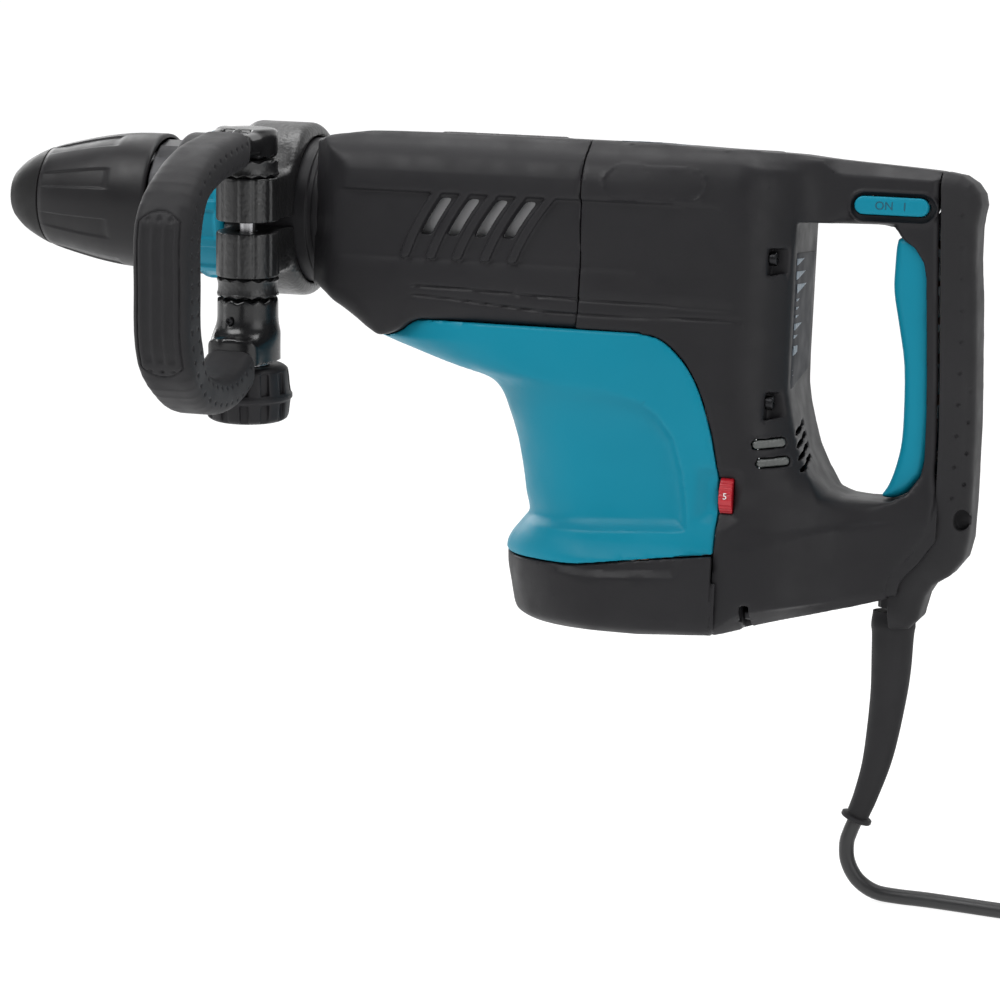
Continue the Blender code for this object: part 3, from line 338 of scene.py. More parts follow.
def surface(name, colour, rough, metal=0.0, grain=1400.0, grain_depth=0.05, rough_range=0.08, tint=0.12,
        worn=0.25, coat=0.0, waves=0.0, wave_scale=160.0, specular=0.5):
    """Moulded or machined finish: fine grain, slow colour and gloss changes, and lighter rubbed edges."""
    made, nodes, links, shader = tree(name)
    place = nodes.new("ShaderNodeTexCoord").outputs["Object"]
    fine = noise(nodes, links, place, grain, 2.0)
    slow = noise(nodes, links, place, 9.0, 5.0)
    patch = noise(nodes, links, place, 60.0, 4.0)
    geometry = nodes.new("ShaderNodeNewGeometry")
    edge = spread(nodes, links, geometry.outputs["Pointiness"], 0.0, 1.0, (0.52, 0.60))
    broken = nodes.new("ShaderNodeMath")
    broken.operation = "MULTIPLY"
    links.new(edge, broken.inputs[0])
    links.new(spread(nodes, links, patch.outputs["Fac"], 0.0, worn, (0.35, 0.65)), broken.inputs[1])
    base = nodes.new("ShaderNodeMix")
    base.data_type = "RGBA"
    dark = [c * (1 - tint) for c in colour]
    light = [min(1.0, c * (1 + tint)) for c in colour]
    base.inputs["A"].default_value, base.inputs["B"].default_value = (*dark, 1), (*light, 1)
    links.new(spread(nodes, links, slow.outputs["Fac"], 0.0, 1.0, (0.35, 0.65)), base.inputs["Factor"])
    rubbed = nodes.new("ShaderNodeMix")
    rubbed.data_type = "RGBA"
    rubbed.inputs["B"].default_value = (*[min(1.0, c * 1.6 + 0.05) for c in colour], 1)
    links.new(base.outputs["Result"], rubbed.inputs["A"])
    links.new(broken.outputs[0], rubbed.inputs["Factor"])
    links.new(rubbed.outputs["Result"], shader.inputs["Base Color"])
    links.new(spread(nodes, links, patch.outputs["Fac"], rough - rough_range, rough + rough_range),
        shader.inputs["Roughness"])
    shader.inputs["Metallic"].default_value = metal
    shader.inputs["Coat Weight"].default_value = coat
    shader.inputs["Coat Roughness"].default_value = 0.25
    shader.inputs["Specular IOR Level"].default_value = specular
    bump = nodes.new("ShaderNodeBump")
    bump.inputs["Strength"].default_value = 1.0
    bump.inputs["Distance"].default_value = grain_depth * MM
    links.new(fine.outputs["Fac"], bump.inputs["Height"])
    last = bump
    if waves:
        hammered = noise(nodes, links, place, wave_scale, 1.0)
        second = nodes.new("ShaderNodeBump")
        second.inputs["Strength"].default_value = 1.0
        second.inputs["Distance"].default_value = waves * MM
        links.new(hammered.outputs["Fac"], second.inputs["Height"])
        links.new(bump.outputs["Normal"], second.inputs["Normal"])
        last = second
    links.new(last.outputs["Normal"], shader.inputs["Normal"])
    return made


BLACK = surface("black_plastic", (0.0150, 0.0145, 0.0162), 0.50, grain=1500, grain_depth=0.035, tint=0.08,
    worn=0.10, specular=0.22)
SLEEVE = surface("chuck_plastic", (0.0130, 0.0124, 0.0136), 0.42, grain=1300, grain_depth=0.03, worn=0.10,
    specular=0.25)
RUBBER = surface("soft_rubber", (0.0200, 0.0195, 0.0210), 0.62, grain=1100, grain_depth=0.05, tint=0.10,
    worn=0.12, specular=0.20)
CAP = surface("cap_rubber", (0.0070, 0.0068, 0.0072), 0.50, grain=1000, grain_depth=0.04, worn=0.10,
    specular=0.20)
TEAL = surface("teal_plastic", (0.0045, 0.205, 0.300), 0.42, grain=1300, grain_depth=0.02, tint=0.04,
    worn=0.05, specular=0.15)
SATIN = surface("hammered_paint", (0.0085, 0.0085, 0.0090), 0.37, metal=0.0, grain=900, grain_depth=0.02,
    waves=0.30, wave_scale=420.0, worn=0.10, specular=0.6)
GLOSS = surface("gloss_nylon", (0.0070, 0.0070, 0.0076), 0.24, grain=900, grain_depth=0.012, worn=0.08,
    specular=0.5)
STEEL = surface("ground_steel", (0.42, 0.42, 0.43), 0.33, metal=1.0, grain=600, grain_depth=0.01, worn=0.4)
DARK_STEEL = surface("black_oxide_steel", (0.030, 0.030, 0.032), 0.36, metal=1.0, grain=700,
    grain_depth=0.02, worn=0.6)
ALLOY = surface("cast_alloy", (0.46, 0.46, 0.47), 0.50, metal=1.0, grain=500, grain_depth=0.06, waves=0.1,
    worn=0.4)
COPPER = surface("copper", (0.60, 0.25, 0.12), 0.35, metal=1.0, grain=700, grain_depth=0.01)
RED = surface("red_plastic", (0.42, 0.012, 0.022), 0.36, grain=1200, grain_depth=0.02, tint=0.06, worn=0.1)
WHITE_INK = surface("white_ink", (0.75, 0.75, 0.74), 0.5, grain=1500, grain_depth=0.01, tint=0.03, worn=0.0)
DARK_INK = surface("dark_ink", (0.002, 0.07, 0.11), 0.5, grain=1500, grain_depth=0.01, tint=0.03, worn=0.0)
GREY_INK = surface("grey_ink", (0.22, 0.26, 0.30), 0.5, grain=1500, grain_depth=0.01, tint=0.05, worn=0.0)
FILM = surface("label_film", (0.010, 0.012, 0.017), 0.50, grain=1500, grain_depth=0.005, tint=0.05,
    worn=0.0, specular=0.10)
BOARD = surface("circuit_board", (0.01, 0.10, 0.04), 0.35, grain=300, grain_depth=0.05)
CARBON = surface("carbon", (0.02, 0.02, 0.02), 0.55, grain=700, grain_depth=0.05)
LENS = surface("lamp_lens", (0.045, 0.050, 0.048), 0.16, grain=500, grain_depth=0.01, tint=0.5, worn=0.0,
    waves=0.25, wave_scale=700.0, coat=0.6)
BRASS = surface("plated_pins", (0.55, 0.50, 0.40), 0.28, metal=1.0, grain=600, grain_depth=0.01)
TIE_STRAP = surface("nylon_tie", (0.02, 0.02, 0.022), 0.42, grain=900, grain_depth=0.03)
CABLE = surface("cable_jacket", (0.018, 0.018, 0.019), 0.42, grain=700, grain_depth=0.03)

CAD_FINISH = {
    STEEL: "lock_roller_upper lock_roller_lower sleeve_spring cylinder impact_bolt striker piston_pin "
           "connecting_rod crank_gear armature_shaft armature_core upper_bearing lower_bearing field_stator "
           "trigger_pin trigger_spring clamp_bolt knob_washer",
    DARK_STEEL: "tool_holder housing_screw_upper housing_screw_lower base_screw boss_screw",
    ALLOY: "crank_case piston", COPPER: "commutator", BOARD: "control_board",
    CARBON: "brush_holder_front brush_holder_rear",
    BLACK: "barrel cooling_fan switch_body cord_clamp"}


def finish_cad_nodes():
    for spec, names in CAD_FINISH.items():
        for name in names.split():
            for slot in bpy.data.objects[name].material_slots:
                slot.material = spec


# ---- camera, light and studio

AZIMUTH, ELEVATION, ROLL = math.radians(16.0), math.radians(6.5), math.radians(2.6)
TARGET = TOOL @ Vector((307.72, 0.0, -160.38))
DISTANCE, LENS_LENGTH, SENSOR = 1.91210, 120.0, 36.0


def studio():
    camera = bpy.data.cameras.new("camera")
    camera.lens, camera.sensor_width = LENS_LENGTH, SENSOR
    camera.clip_start, camera.clip_end = 0.05, 50.0
    seat = bpy.data.objects.new("camera", camera)
    bpy.context.scene.collection.objects.link(seat)
    back = Vector((math.sin(AZIMUTH) * math.cos(ELEVATION), -math.cos(AZIMUTH) * math.cos(ELEVATION),
        math.sin(ELEVATION)))
    right = Vector((math.cos(AZIMUTH), math.sin(AZIMUTH), 0.0))
    up = back.cross(right)
    turned_right = right * math.cos(ROLL) + up * math.sin(ROLL)
    turned_up = up * math.cos(ROLL) - right * math.sin(ROLL)
    place = Matrix((turned_right, turned_up, back)).transposed().to_4x4()
    place.translation = TARGET + back * DISTANCE
    seat.matrix_world = place
    bpy.context.scene.camera = seat

    floor_z = (TOOL @ Vector((0, 0, FLOOR_Z))).z
    radius, deep, wide, high = 0.9, 2.6, 30.0, 4.0
    profile = [(-30.0, 0.0), (deep - radius, 0.0)]
    profile += [(deep - radius + radius * math.sin(t), radius - radius * math.cos(t))
        for t in np.linspace(0, math.pi / 2, 16)[1:]] + [(deep, high)]
    points = [(side * wide, y, floor_z + z) for y, z in profile for side in (-1, 1)]
    faces = [(2 * k, 2 * k + 1, 2 * k + 3, 2 * k + 2) for k in range(len(profile) - 1)]
    mesh = bpy.data.meshes.new("floor")
    mesh.from_pydata(points, [], faces)
    mesh.shade_smooth()
    made, _, _, shader = tree("studio_white")
    shader.inputs["Base Color"].default_value = (0.30, 0.30, 0.30, 1)
    shader.inputs["Roughness"].default_value = 0.9
    shader.inputs["Emission Color"].default_value = (1, 1, 1, 1)
    shader.inputs["Emission Strength"].default_value = 0.82
    mesh.materials.append(made)
    floor = bpy.data.objects.new("floor", mesh)
    bpy.context.scene.collection.objects.link(floor)

    world = bpy.context.scene.world or bpy.data.worlds.new("world")
    bpy.context.scene.world = world
    world.use_nodes = True
    world.node_tree.nodes["Background"].inputs["Color"].default_value = (0.95, 0.97, 1.0, 1)
    world.node_tree.nodes["Background"].inputs["Strength"].default_value = 0.13
    middle = TOOL @ Vector((300, 0, -80))
    for name, offset, size, power in (("key", (-0.9, -1.1, 1.5), (1.4, 1.0), 30.0),
            ("fill", (1.6, -1.2, 0.5), (1.2, 1.2), 11.0), ("top", (0.1, 0.3, 1.8), (2.0, 0.7), 27.0),
            ("rim", (-1.3, 1.1, 0.9), (0.8, 1.2), 12.0), ("front", (-1.9, -0.5, 0.1), (0.5, 1.4), 4.0)):
        light = bpy.data.lights.new(name, "AREA")
        light.shape, light.size, light.size_y, light.energy = "RECTANGLE", size[0], size[1], power
        lamp = bpy.data.objects.new(name, light)
        bpy.context.scene.collection.objects.link(lamp)
        lamp.location = middle + Vector(offset)
        lamp.rotation_euler = (middle - lamp.location).to_track_quat("-Z", "Y").to_euler()
    bpy.context.scene.view_settings.view_transform = "Standard"


# ---- cord, coil, tie and plug

CORD_D, CORD_LENGTH = 8.5, 5.0        # millimetres and metres
LYING = FLOOR_Z + CORD_D / 2
CORD_ROUTE = [(523.2, 0.0, -325.9), (521.0, 0.0, -332.0), (519.4, 0.0, -339.0), (520.6, 0.0, -349.0),
    (526.5, 0.0, -358.6), (536.5, 0.0, -364.6), (549.0, 0.0, LYING), (566.0, -1.0, LYING),
    (588.0, -4.5, LYING), (610.0, -8.2, LYING), (631.0, -9.4, LYING), (650.4, -9.25, LYING)]
COIL_X, COIL_Y, TIE = 686.0, 62.0, 1.2
COIL_LOW = FLOOR_Z + TIE + 0.3
COIL_IN, COIL_OUT = 37.25, 71.25
PLUG_X, PLUG_START, PLUG_Z = COIL_X + COIL_OUT, COIL_Y + 36.5, COIL_LOW + 1.5 * CORD_D - 1.5


def coil_points(per_turn=36):
    """Four wound layers, then a turn and a quarter round the outside that ends in the plug."""
    step = CORD_D
    legs = [(4.0, COIL_OUT, COIL_IN, 0), (3.0, COIL_IN, COIL_OUT - step, 1), (3.0, COIL_OUT - step, COIL_IN,
        2), (3.0, COIL_IN, COIL_OUT - step, 3)]
    found, turns = [], 0.0
    for count, start, end, layer in legs:
        for k in range(int(count * per_turn)):
            done = k / (count * per_turn)
            rise = min(1.0, k / (0.3 * per_turn)) if layer else 1.0
            found.append((turns + count * done, start + (end - start) * done, layer - 1 + rise if layer
                else 0.0))
        turns += count
    for k in range(int(1.25 * per_turn)):
        done = k / (1.25 * per_turn)
        found.append((turns + 1.25 * done, COIL_OUT - step * (1 - ramp(done, 0.0, 0.3)), 3 - 2 * ramp(done,
            0.15, 0.9)))
    points = []
    for turn, radius, layer in found:
        angle = 2 * math.pi * turn - math.pi / 2
        points.append((COIL_X + radius * math.cos(angle), COIL_Y + radius * math.sin(angle), COIL_LOW + step
            * (layer + 0.5)))
    return points


def cord_and_plug():
    lead = curve_through(CORD_ROUTE, 5)
    wound = coil_points()
    tail_z = wound[-1][2]
    tail = [(PLUG_X, COIL_Y + y, tail_z + (PLUG_Z - tail_z) * y / 36.5) for y in (4, 12, 20, 28, 37.5)]
    route = lead + [(668.0, -9.25, LYING + 0.8)] + wound + tail
    places = [TOOL @ Vector(p) for p in route]
    curve = bpy.data.curves.new("mains_cord", "CURVE")
    curve.dimensions, curve.bevel_depth, curve.bevel_resolution = "3D", CORD_D / 2 * MM, 5
    curve.use_fill_caps = True
    spline = curve.splines.new("POLY")
    spline.points.add(len(places) - 1)
    for spot, point in zip(spline.points, places):
        spot.co = (*point, 1.0)
    curve.materials.append(CABLE)
    cord = bpy.data.objects.new("mains_cord", curve)
    bpy.context.scene.collection.objects.link(cord)
    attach(cord, "tool")
    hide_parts("cord", "cord_coil")

    x = (COIL_X - 75.85, COIL_X - COIL_IN + CORD_D / 2 + 0.4)
    z = (COIL_LOW - 0.3, COIL_LOW + 4 * CORD_D + 0.3)

    def strap(b):
        loop = cuboid(b, (x[0] - TIE, x[1] + TIE), (COIL_Y - 8, COIL_Y + 8), (z[0] - TIE, z[1] + TIE), 1.1)
        inside = cuboid(b, x, (COIL_Y - 30, COIL_Y + 30), z, 0.6)
        ribs = 0.15 * np.abs(np.cos(b.y * 3.1))
        head = cuboid(b, (x[0] + 14, x[0] + 25), (COIL_Y - 8, COIL_Y + 8), (z[1] - 0.1, z[1] + TIE), 0.3)
        return join(meet(loop + ribs, -inside), meet(head, -inside))

    tie = moulded("coil_strap", (x[0] - 3, COIL_Y - 10, z[0] - 3), (x[1] + 3, COIL_Y + 10, z[1] + 3), 0.45,
        strap, TIE_STRAP, "tool", ("coil_tie",))

    def plug_body(b):
        y = b.y - PLUG_START
        u, v = b.x - PLUG_X, b.z - PLUG_Z
        half_u = smooth(y, [(0, 5.2), (15, 6.4), (19, 9.5), (27, 13.2), (46, 13.9)])
        half_v = smooth(y, [(0, 5.2), (15, 6.4), (19, 8.5), (27, 10.2), (46, 10.9)])
        sleeve = (np.abs(np.mod(y - 3.0, 3.0) - 1.5) < 0.6) & (y > 1.0) & (y < 15.0)
        side = extruded(np.abs(u) - half_u + 0.8 * sleeve, np.abs(v) - half_v + 0.8 * sleeve, 4.5)
        grips = 0.5 * (np.abs(np.mod(y - 28.0, 3.2) - 1.6) < 0.8) * (y > 28) * (y < 41)
        side = side + grips * (np.abs(u) > 10)
        return smax(side, meet(-y, y - 46.0), 2.0)

    plug = moulded("mains_plug", (PLUG_X - 17, PLUG_START - 3, PLUG_Z - 13), (PLUG_X + 17, PLUG_START + 50,
        PLUG_Z + 13), 0.5, plug_body, RUBBER, "tool", ("plug",))

    def blades(b):
        found = []
        for side in (-1, 1):
            one = cuboid(b, (PLUG_X + side * 6.35 - 0.8, PLUG_X + side * 6.35 + 0.8), (PLUG_START + 44,
                PLUG_START + 63.5), (PLUG_Z - 3.2, PLUG_Z + 3.2), 0.5)
            hole = np.hypot(b.y - PLUG_START - 59.0, b.z - PLUG_Z) - 1.4
            found.append(cut(one, hole))
        return join(*found)

    pins = moulded("plug_blades", (PLUG_X - 9, PLUG_START + 42, PLUG_Z - 5), (PLUG_X + 9, PLUG_START + 66,
        PLUG_Z + 5), 0.3, blades, BRASS, "tool", sharp=30)


# ---- shared outlines of the housings

WALL, GAP = 3.0, 0.35
MOTOR_X, CORD_X = 385.0, 538.3        # motor axis and strain relief axis
BARREL_HOLE = 37.9                    # radius of the opening in the front cover
DUCT = (-18.9, 18.9)                  # width of the channels inside the rear grip
BEYOND = [(640, -240), (640, 60)]     # closes outlines far behind the grip
COVER_START, COVER_END = 205.0, 361.8
SIDE_KNOTS = [(-66, 49.0), (-56, 51.5), (-45, 53.4), (-32, 54.0), (-24.5, 53.3), (-21.5, 52.5), (-19, 52.8),
    (0, 53.0), (13.4, 52.6), (15.2, 55.2), (17, 55.5), (24, 54.9), (30, 53.2), (35, 50.4), (39.3, 46.6),
    (40.6, 45.0), (47.3, 37.0), (60, 23.0)]
REAR_SIDE_KNOTS = [(-223, 55.0), (-200, 57.0), (-136, 56.0), (-98, 55.2), (-56, 54.2), (-22, 53.8),
    (6, 52.6), (20, 51.2), (30, 49.6), (36, 47.4), (39.5, 44.6), (46.8, 36.5), (60, 23.0)]
TOP_LINE = [(205, 41.2), (211, 43.6), (222, 45.4), (236, 47.1), (258, 47.5), (385, 47.2), (411, 46.2),
    (470, 44.9), (492, 43.4), (556, 39.0), (564, 37.4)]
COVER_FLOOR = [(205, -40.6), (211, -44.5), (216.4, -49.5), (222, -53.0), (230, -58.6), (238, -64.2),
    (245, -67.0), (256, -63.8), (266, -57.6), (273, -56.0), (362, -56.0)]
SEAM = [(553.0, 39.6), (556.0, -20.0), (559.0, -73.6), (560.5, -115.0), (559.6, -151.0), (551.0, -168.6),
    (538.3, -186.0), (538.3, -214.6)]
TEAL_REAR = [(-190, 446.2), (-171, 446.6), (-152, 446.9), (-136, 446.6), (-116, 443.0), (-102, 439.1),
    (-86, 433.1), (-74, 426.1), (-64, 416.6), (-58.3, 407.3), (-56.6, 398.0)]
SEAM_LINE = curve_through([SEAM[0]] + SEAM[2:], 6)
UPPER_GROOVE = [(262, -37.6), (360, -40.0), (452, -41.0)]
LOWER_GROOVE = [(262, -43.0), (360, -48.2), (457, -46.7)]


GROOVE_WIDTH, GROOVE_DEPTH = 1.1, 1.4


def grooved(side, along, height, line, ends):
    """Lowers a half-width by a V groove that follows line, a list of (x, z), between two x."""
    centre = smooth(along, line)
    inside = ramp(along, ends[0], ends[0] + 8) * (1 - ramp(along, ends[1] - 10, ends[1]))
    return side - GROOVE_DEPTH * np.maximum(0.0, 1.0 - np.abs(height - centre) / GROOVE_WIDTH) * inside


def side_field(b, half):
    """|y| less a half-width that depends on x and z, corrected for the half-width's slope in z."""
    slope = np.gradient(np.broadcast_to(half, (half.shape[0], 1, b.z.shape[2])), b.step, axis=2)
    return (b.side - half) / np.sqrt(1.0 + np.clip(slope, -2.5, 2.5) ** 2)


def rib_centre(k, z):
    low, high = (261.3, 276.4, 291.5, 307.8, 323.4)[k], (278.6, 294.9, 311.2, 327.4, 344.0)[k]
    t = np.clip((z + 22.0) / 36.0, 0.0, 1.3)
    return low + (high - low) * (0.62 * t + 0.38 * t * t)


def seam_wave(b):
    """Slow bend of the joint between the front cover and the rear housing, on the sides only."""
    return 0.7 * np.sin((b.z + 56.0) / 16.4) * (b.z < 44) * (b.side > 40)


def both_grooves(b, half, front, upper_end, lower_end):
    half = grooved(half, b.x, b.z, UPPER_GROOVE, ends=(front, upper_end))
    return grooved(half, b.x, b.z, LOWER_GROOVE, ends=(front, lower_end))


def cover_outer(b):
    half = smooth(b.z, SIDE_KNOTS) + 0.0 * b.x
    half = half - 9.0 * np.clip((smooth(b.x, COVER_FLOOR) + 20.0 - b.z) / 20.0, 0, 1.2) ** 2 * (1
        - ramp(b.x, 225, 262))
    half = both_grooves(b, half, 262, 420, 420)
    top, floor = smooth(b.x, TOP_LINE), smooth(b.x, COVER_FLOOR)
    front = smax(((b.x - 205.0) * -8.3 + (b.side - 41.0) * 8.0) / 11.53,
        ((b.x - 213.0) * -3.3 + (b.side - 49.3) * 7.5) / 8.19, 1.5)
    outer = smax(side_field(b, half), b.z - top, 1.6)
    outer = smax(outer, (floor - b.z) * 0.86, 3.0)
    return smax(outer, front, 1.6)


def front_cover(b):
    outer = cover_outer(b)
    shell = meet(outer, -(outer + WALL))
    front_wall = meet(outer, b.x - COVER_START - WALL, BARREL_HOLE - np.hypot(b.y, b.z))
    rim = meet(outer, b.x - COVER_START - 4.5, np.abs(np.hypot(b.y, b.z) - 39.6) - 1.6)
    shell = join(shell, front_wall, meet(rim, BARREL_HOLE - np.hypot(b.y, b.z)))
    shell = meet(shell, BARREL_HOLE - np.hypot(b.y, b.z) - 40.0 * (b.x > COVER_START + WALL))
    for k in range(5):
        across = np.abs(b.x - rib_centre(k, b.z)) * 0.91 - 2.5
        rib = smax(smax(across, within(b.z, -22.5, 15.5), 2.4), meet(b.side - 55.3, 50.5 - b.side), 1.0)
        shell = smin(shell, rib, 1.4)
    for k in range(4):
        middle = (rib_centre(k, b.z) + rib_centre(k + 1, b.z)) / 2
        slot = smax(np.abs(b.x - middle + 1.1) * 0.91 - 2.9, within(b.z, -8.6, 11.8), 2.0)
        shell = cut(shell, meet(slot, 44.0 - b.side), 0.8)
    for k in range(5):
        middle = 266.5 + 13.6 * k + (b.side - 14.0) * 0.24
        slot = smax(np.abs(b.x - middle) * 0.97 - 2.6, b.side - 29.0, 2.0)
        shell = cut(shell, meet(slot, 40.0 - b.z), 1.0)
        ridge = smax(smax(np.abs(b.x - middle - 4.4) * 0.97 - 1.1, b.side - 31.0, 2.0), within(b.z, 44.5,
            48.2), 0.8)
        shell = smin(shell, ridge, 1.0)
    for x in (338.0, 349.0):
        dent = smax(np.abs(b.x - x - (b.side - 14.0) * 0.24) - 1.5, b.side - 30.0, 2.0)
        shell = cut(shell, meet(dent, 46.2 - b.z), 0.8)
    return smax(shell, b.x - COVER_END + 0.2 - seam_wave(b), 0.7)


def nose(b, front, depth, half):
    """Plan-view field of a body with an elliptical front and straight sides."""
    u = np.maximum(front + depth - b.x, 0.0) / depth
    v = b.side / half
    reach = np.sqrt(u * u + v * v)
    scale = half * depth / meet(np.sqrt((half * u) ** 2 + (depth * v) ** 2) / meet(reach, 1e-3), 1.0)
    return (reach - 1.0) * scale


MOTOR_FRONT = [(-188, 316.0), (-184, 315.6), (-180.9, 315.9), (-176, 318.0), (-168, 324.0), (-162.4, 327.6),
    (-152, 325.2), (-139.3, 322.9), (-123.7, 319.4), (-115.7, 316.8), (-105.8, 313), (-97.1, 309.3),
    (-91.5, 305), (-88.1, 299.6), (-82.2, 277.8), (-76, 257.5), (-69.5, 237.6), (-67, 232)]
MOTOR_DEPTH = [(-187, 64), (-175, 56), (-160, 50), (-116, 48), (-98, 50), (-88, 55), (-80, 62), (-70, 78),
    (-66, 80)]
INNER_HALF = [(-188, 63.3), (-183, 62.6), (-177, 59.0), (-170, 54.4), (-162, 51.4), (-152, 50.3),
    (-136, 49.6), (-112, 49.8), (-100, 51.4), (-92, 53.8), (-84, 55.3), (-76, 55.8), (-56, 55.5)]
OUTER_HALF = [(-188, 63.3), (-183, 62.6), (-177, 60.0), (-170, 57.6), (-160, 56.8), (-120, 56.4),
    (-76, 56.0), (-56, 55.5)]
RECESS = [(200, -82.0), (325, -83.3), (360.8, -87.2), (381.9, -89.2), (400.3, -93.6), (411.1, -100.5),
    (420.8, -112.5), (426.9, -131.0), (430.2, -149.8), (430.9, -163.0), (424.0, -164.3), (406.6, -165.3),
    (378, -167.4), (355.5, -167.8), (330, -168.5), (200, -170.0)]


def base_seam(x):
    return smooth(x, [(314, -184.6), (330, -185.8), (360, -185.8), (400, -181.2), (446, -174.9),
        (452, -174.2)])


def motor_outer(b):
    share = 1.0 - (1.0 - np.clip(-polygon(RECESS, b.x, b.z) / 9.0, 0.0, 1.0)) ** 2
    inner, outer = smooth(b.z, INNER_HALF), smooth(b.z, OUTER_HALF)
    return nose(b, smooth(b.z, MOTOR_FRONT), smooth(b.z, MOTOR_DEPTH), outer + (inner - outer)
        * share) * 0.93


def motor_housing(b):
    outer = motor_outer(b)
    top_z = smooth(b.x, COVER_FLOOR) - 0.45
    shell = join(meet(outer, -(outer + WALL)), meet(outer, top_z - 3.4 - b.z))
    rear = (b.x - smooth(b.z, TEAL_REAR) + 0.2) * 0.8
    shell = smax(smax(smax(shell, (b.z - top_z) * 0.86, 0.9), rear, 0.9), b.z + 56.4, 0.7)
    shell = join(cut(shell, dial_recess(b), 0.8), meet(dial_plate(b, outer), rear))
    return meet(smax(shell, base_seam(b.x) + 0.35 - b.z, 0.9), np.where(b.z > -70,
        20.0 - np.hypot(b.x - MOTOR_X, b.y), -50))


BASE_FRONT = [(-223, 326.0), (-218, 322.6), (-203, 319.1), (-190, 316.6), (-186, 316.4)]
BASE_HALF = [(-223, 58.5), (-218, 61.0), (-210, 62.3), (-190, 63.4), (-170, 63.4)]
BASE_DENT = [(352.0, -180.0), (434.6, -170.0), (426.4, -188.9), (376.0, -192.6), (358.5, -190.8)]


def base_cover(b):
    dent = 2.6 * np.clip(-polygon(BASE_DENT, b.x, b.z) / 5.0, 0.0, 1.0)
    half = smooth(b.z, BASE_HALF) - dent
    outer = nose(b, smooth(b.z, BASE_FRONT) + 0.0 * b.x, 63.0, half)
    outer = smax(outer, -223.0 - b.z + 0.07 * np.maximum(b.x - 405.0, 0), 9.0)
    shell = meet(outer, -(outer + WALL))
    seat = meet(np.abs(np.hypot(b.x - MOTOR_X, b.y) - 13.2) - 1.8, within(b.z, -221.5, -205.0))
    for x in (352.0, 372.0, 392.0, 412.0, 432.0):
        vent = meet(smax(bar(b.x, x, 2.4), b.side - 24.0, 2.0), np.maximum(b.z + 216.0, 0.0))
        shell = cut(shell, vent, 0.7)
    shell = smax(shell, (b.z - base_seam(b.x) + 0.3), 0.9)
    tongue = meet(np.abs(outer + 2.6) - 1.2, bar(b.x, 447.0, 3.0), b.z + 190.0)
    return join(smax(shell, b.x - 446.7, 0.6), seat, tongue)


BLOCK_REAR = [(-219, 500), (-200, 511), (-160, 510), (-136, 501), (-116, 488), (-104, 483.4),
    (-93.3, 480.0), (-82, 478.4), (-66, 477.9), (16, 478.0), (30, 476.5), (40, 473), (46.6, 466)]
BLOCK_CORNER = [(-219, 46), (-160, 50), (-136, 44), (-116, 38), (-98, 35), (-56, 34), (16, 32), (40, 27),
    (47, 24)]
ARM_HALF = [(445, 56.5), (458, 54.6), (470, 50.4), (484, 44.0), (500, 37.2), (515, 31.2), (530, 26.2),
    (545, 22.6), (552, 21.9)]
UNDERSIDE = [(440, -221.0), (447, -219.9), (462, -216.2), (470, -213.4), (500, -206.0), (516.2, -201.8),
    (550, -194)]
ARM_HIGH = [(449, -152), (470, -147.5), (500, -142), (530, -141), (550, -143)]
STRIP_HIGH, STRIP_LOW = [(446, -161.0), (559, -151.0)], [(446, -171.5), (549.6, -153.0)]
BEVEL_LOW = [(447, -214.5), (462, -206.0), (500, -199.5), (545, -192.0)]
HANDLE_HALF = 22.0
HOLE = [(477.9, 7.6), (521.8, 8.6), (528.1, 7.6), (531.5, 4.5), (534.5, 1.2), (541.3, -3.0), (546.8, -11.0),
    (548.5, -19.0), (550.4, -48.0), (552.2, -78.0), (553.0, -97.0), (553.4, -118.0), (551.8, -127.0),
    (545.0, -137.0), (537.4, -141.6), (531.0, -142.3), (519.0, -142.4), (509.2, -141.6), (500.7, -138.6),
    (492.3, -129.4), (486.5, -116.9), (482.8, -104.4), (480.0, -93.3), (478.1, -82.5), (477.8, -66.4),
    (477.8, -22.0), (477.8, -6.5)]
SLAB = [(440, 45.6), (470, 44.9), (492, 43.4)] + SEAM[:-1] + [(538.3, -213.8), (525, -213.6), (520, -211.2),
    (514.7, -204.2), (490, -198), (440, -190)]
CREASE = [(440, 35.6), (500, 34.6), (553, 33.6)]
LAMPS = (("power_lamp", 471.6, -112.6), ("service_lamp", 474.2, -122.6))
LAMP_PLACE = [Matrix.Translation((x, -46.0, z)) @ Matrix.Rotation(math.radians(39), 4, "Z")
    @ Matrix.Rotation(math.radians(-5), 4, "Y") for _, x, z in LAMPS]
SCREWS = (("housing_screw_upper", 465.6, -40.2, -12.2), ("housing_screw_lower", 467.8, -40.6, -90.8),
    ("base_screw", 462.4, -40.2, -207.0))
DIAL_X, DIAL_Y, DIAL_Z = 451.3, -46.4, -142.2
VENT_U = (458.3, 461.8)                # where the two columns of rear vents start, across the view


def dial_window(b):
    return meet(bar(b.x, DIAL_X, 4.2), bar(b.z, DIAL_Z, 9.7))


def dial_recess(b):
    """Sloped pocket round the speed dial, shared by the motor and rear housings."""
    out = np.clip(-53.2 - b.y, 0.0, 9.0)
    across = (np.abs(b.x - 448.4) - 7.8 - 2.03 * out) / 2.2
    up = (np.abs(b.z - DIAL_Z) - 10.5 - 1.6 * out) / 1.9
    pocket = smax(smax(across, up, 1.6), b.y + 53.2, 0.5)
    return join(pocket, meet(dial_window(b), b.y + 33.0))


def dial_plate(b, outer):
    """Plate behind the dial pocket, so that the pocket has a floor where the shells are thin."""
    plate = cuboid(b, (434.0, 464.0), (-54.6, -50.6), (DIAL_Z - 17.5, DIAL_Z + 17.5), 0.5)
    return meet(plate, -dial_window(b), -dial_recess(b), outer)


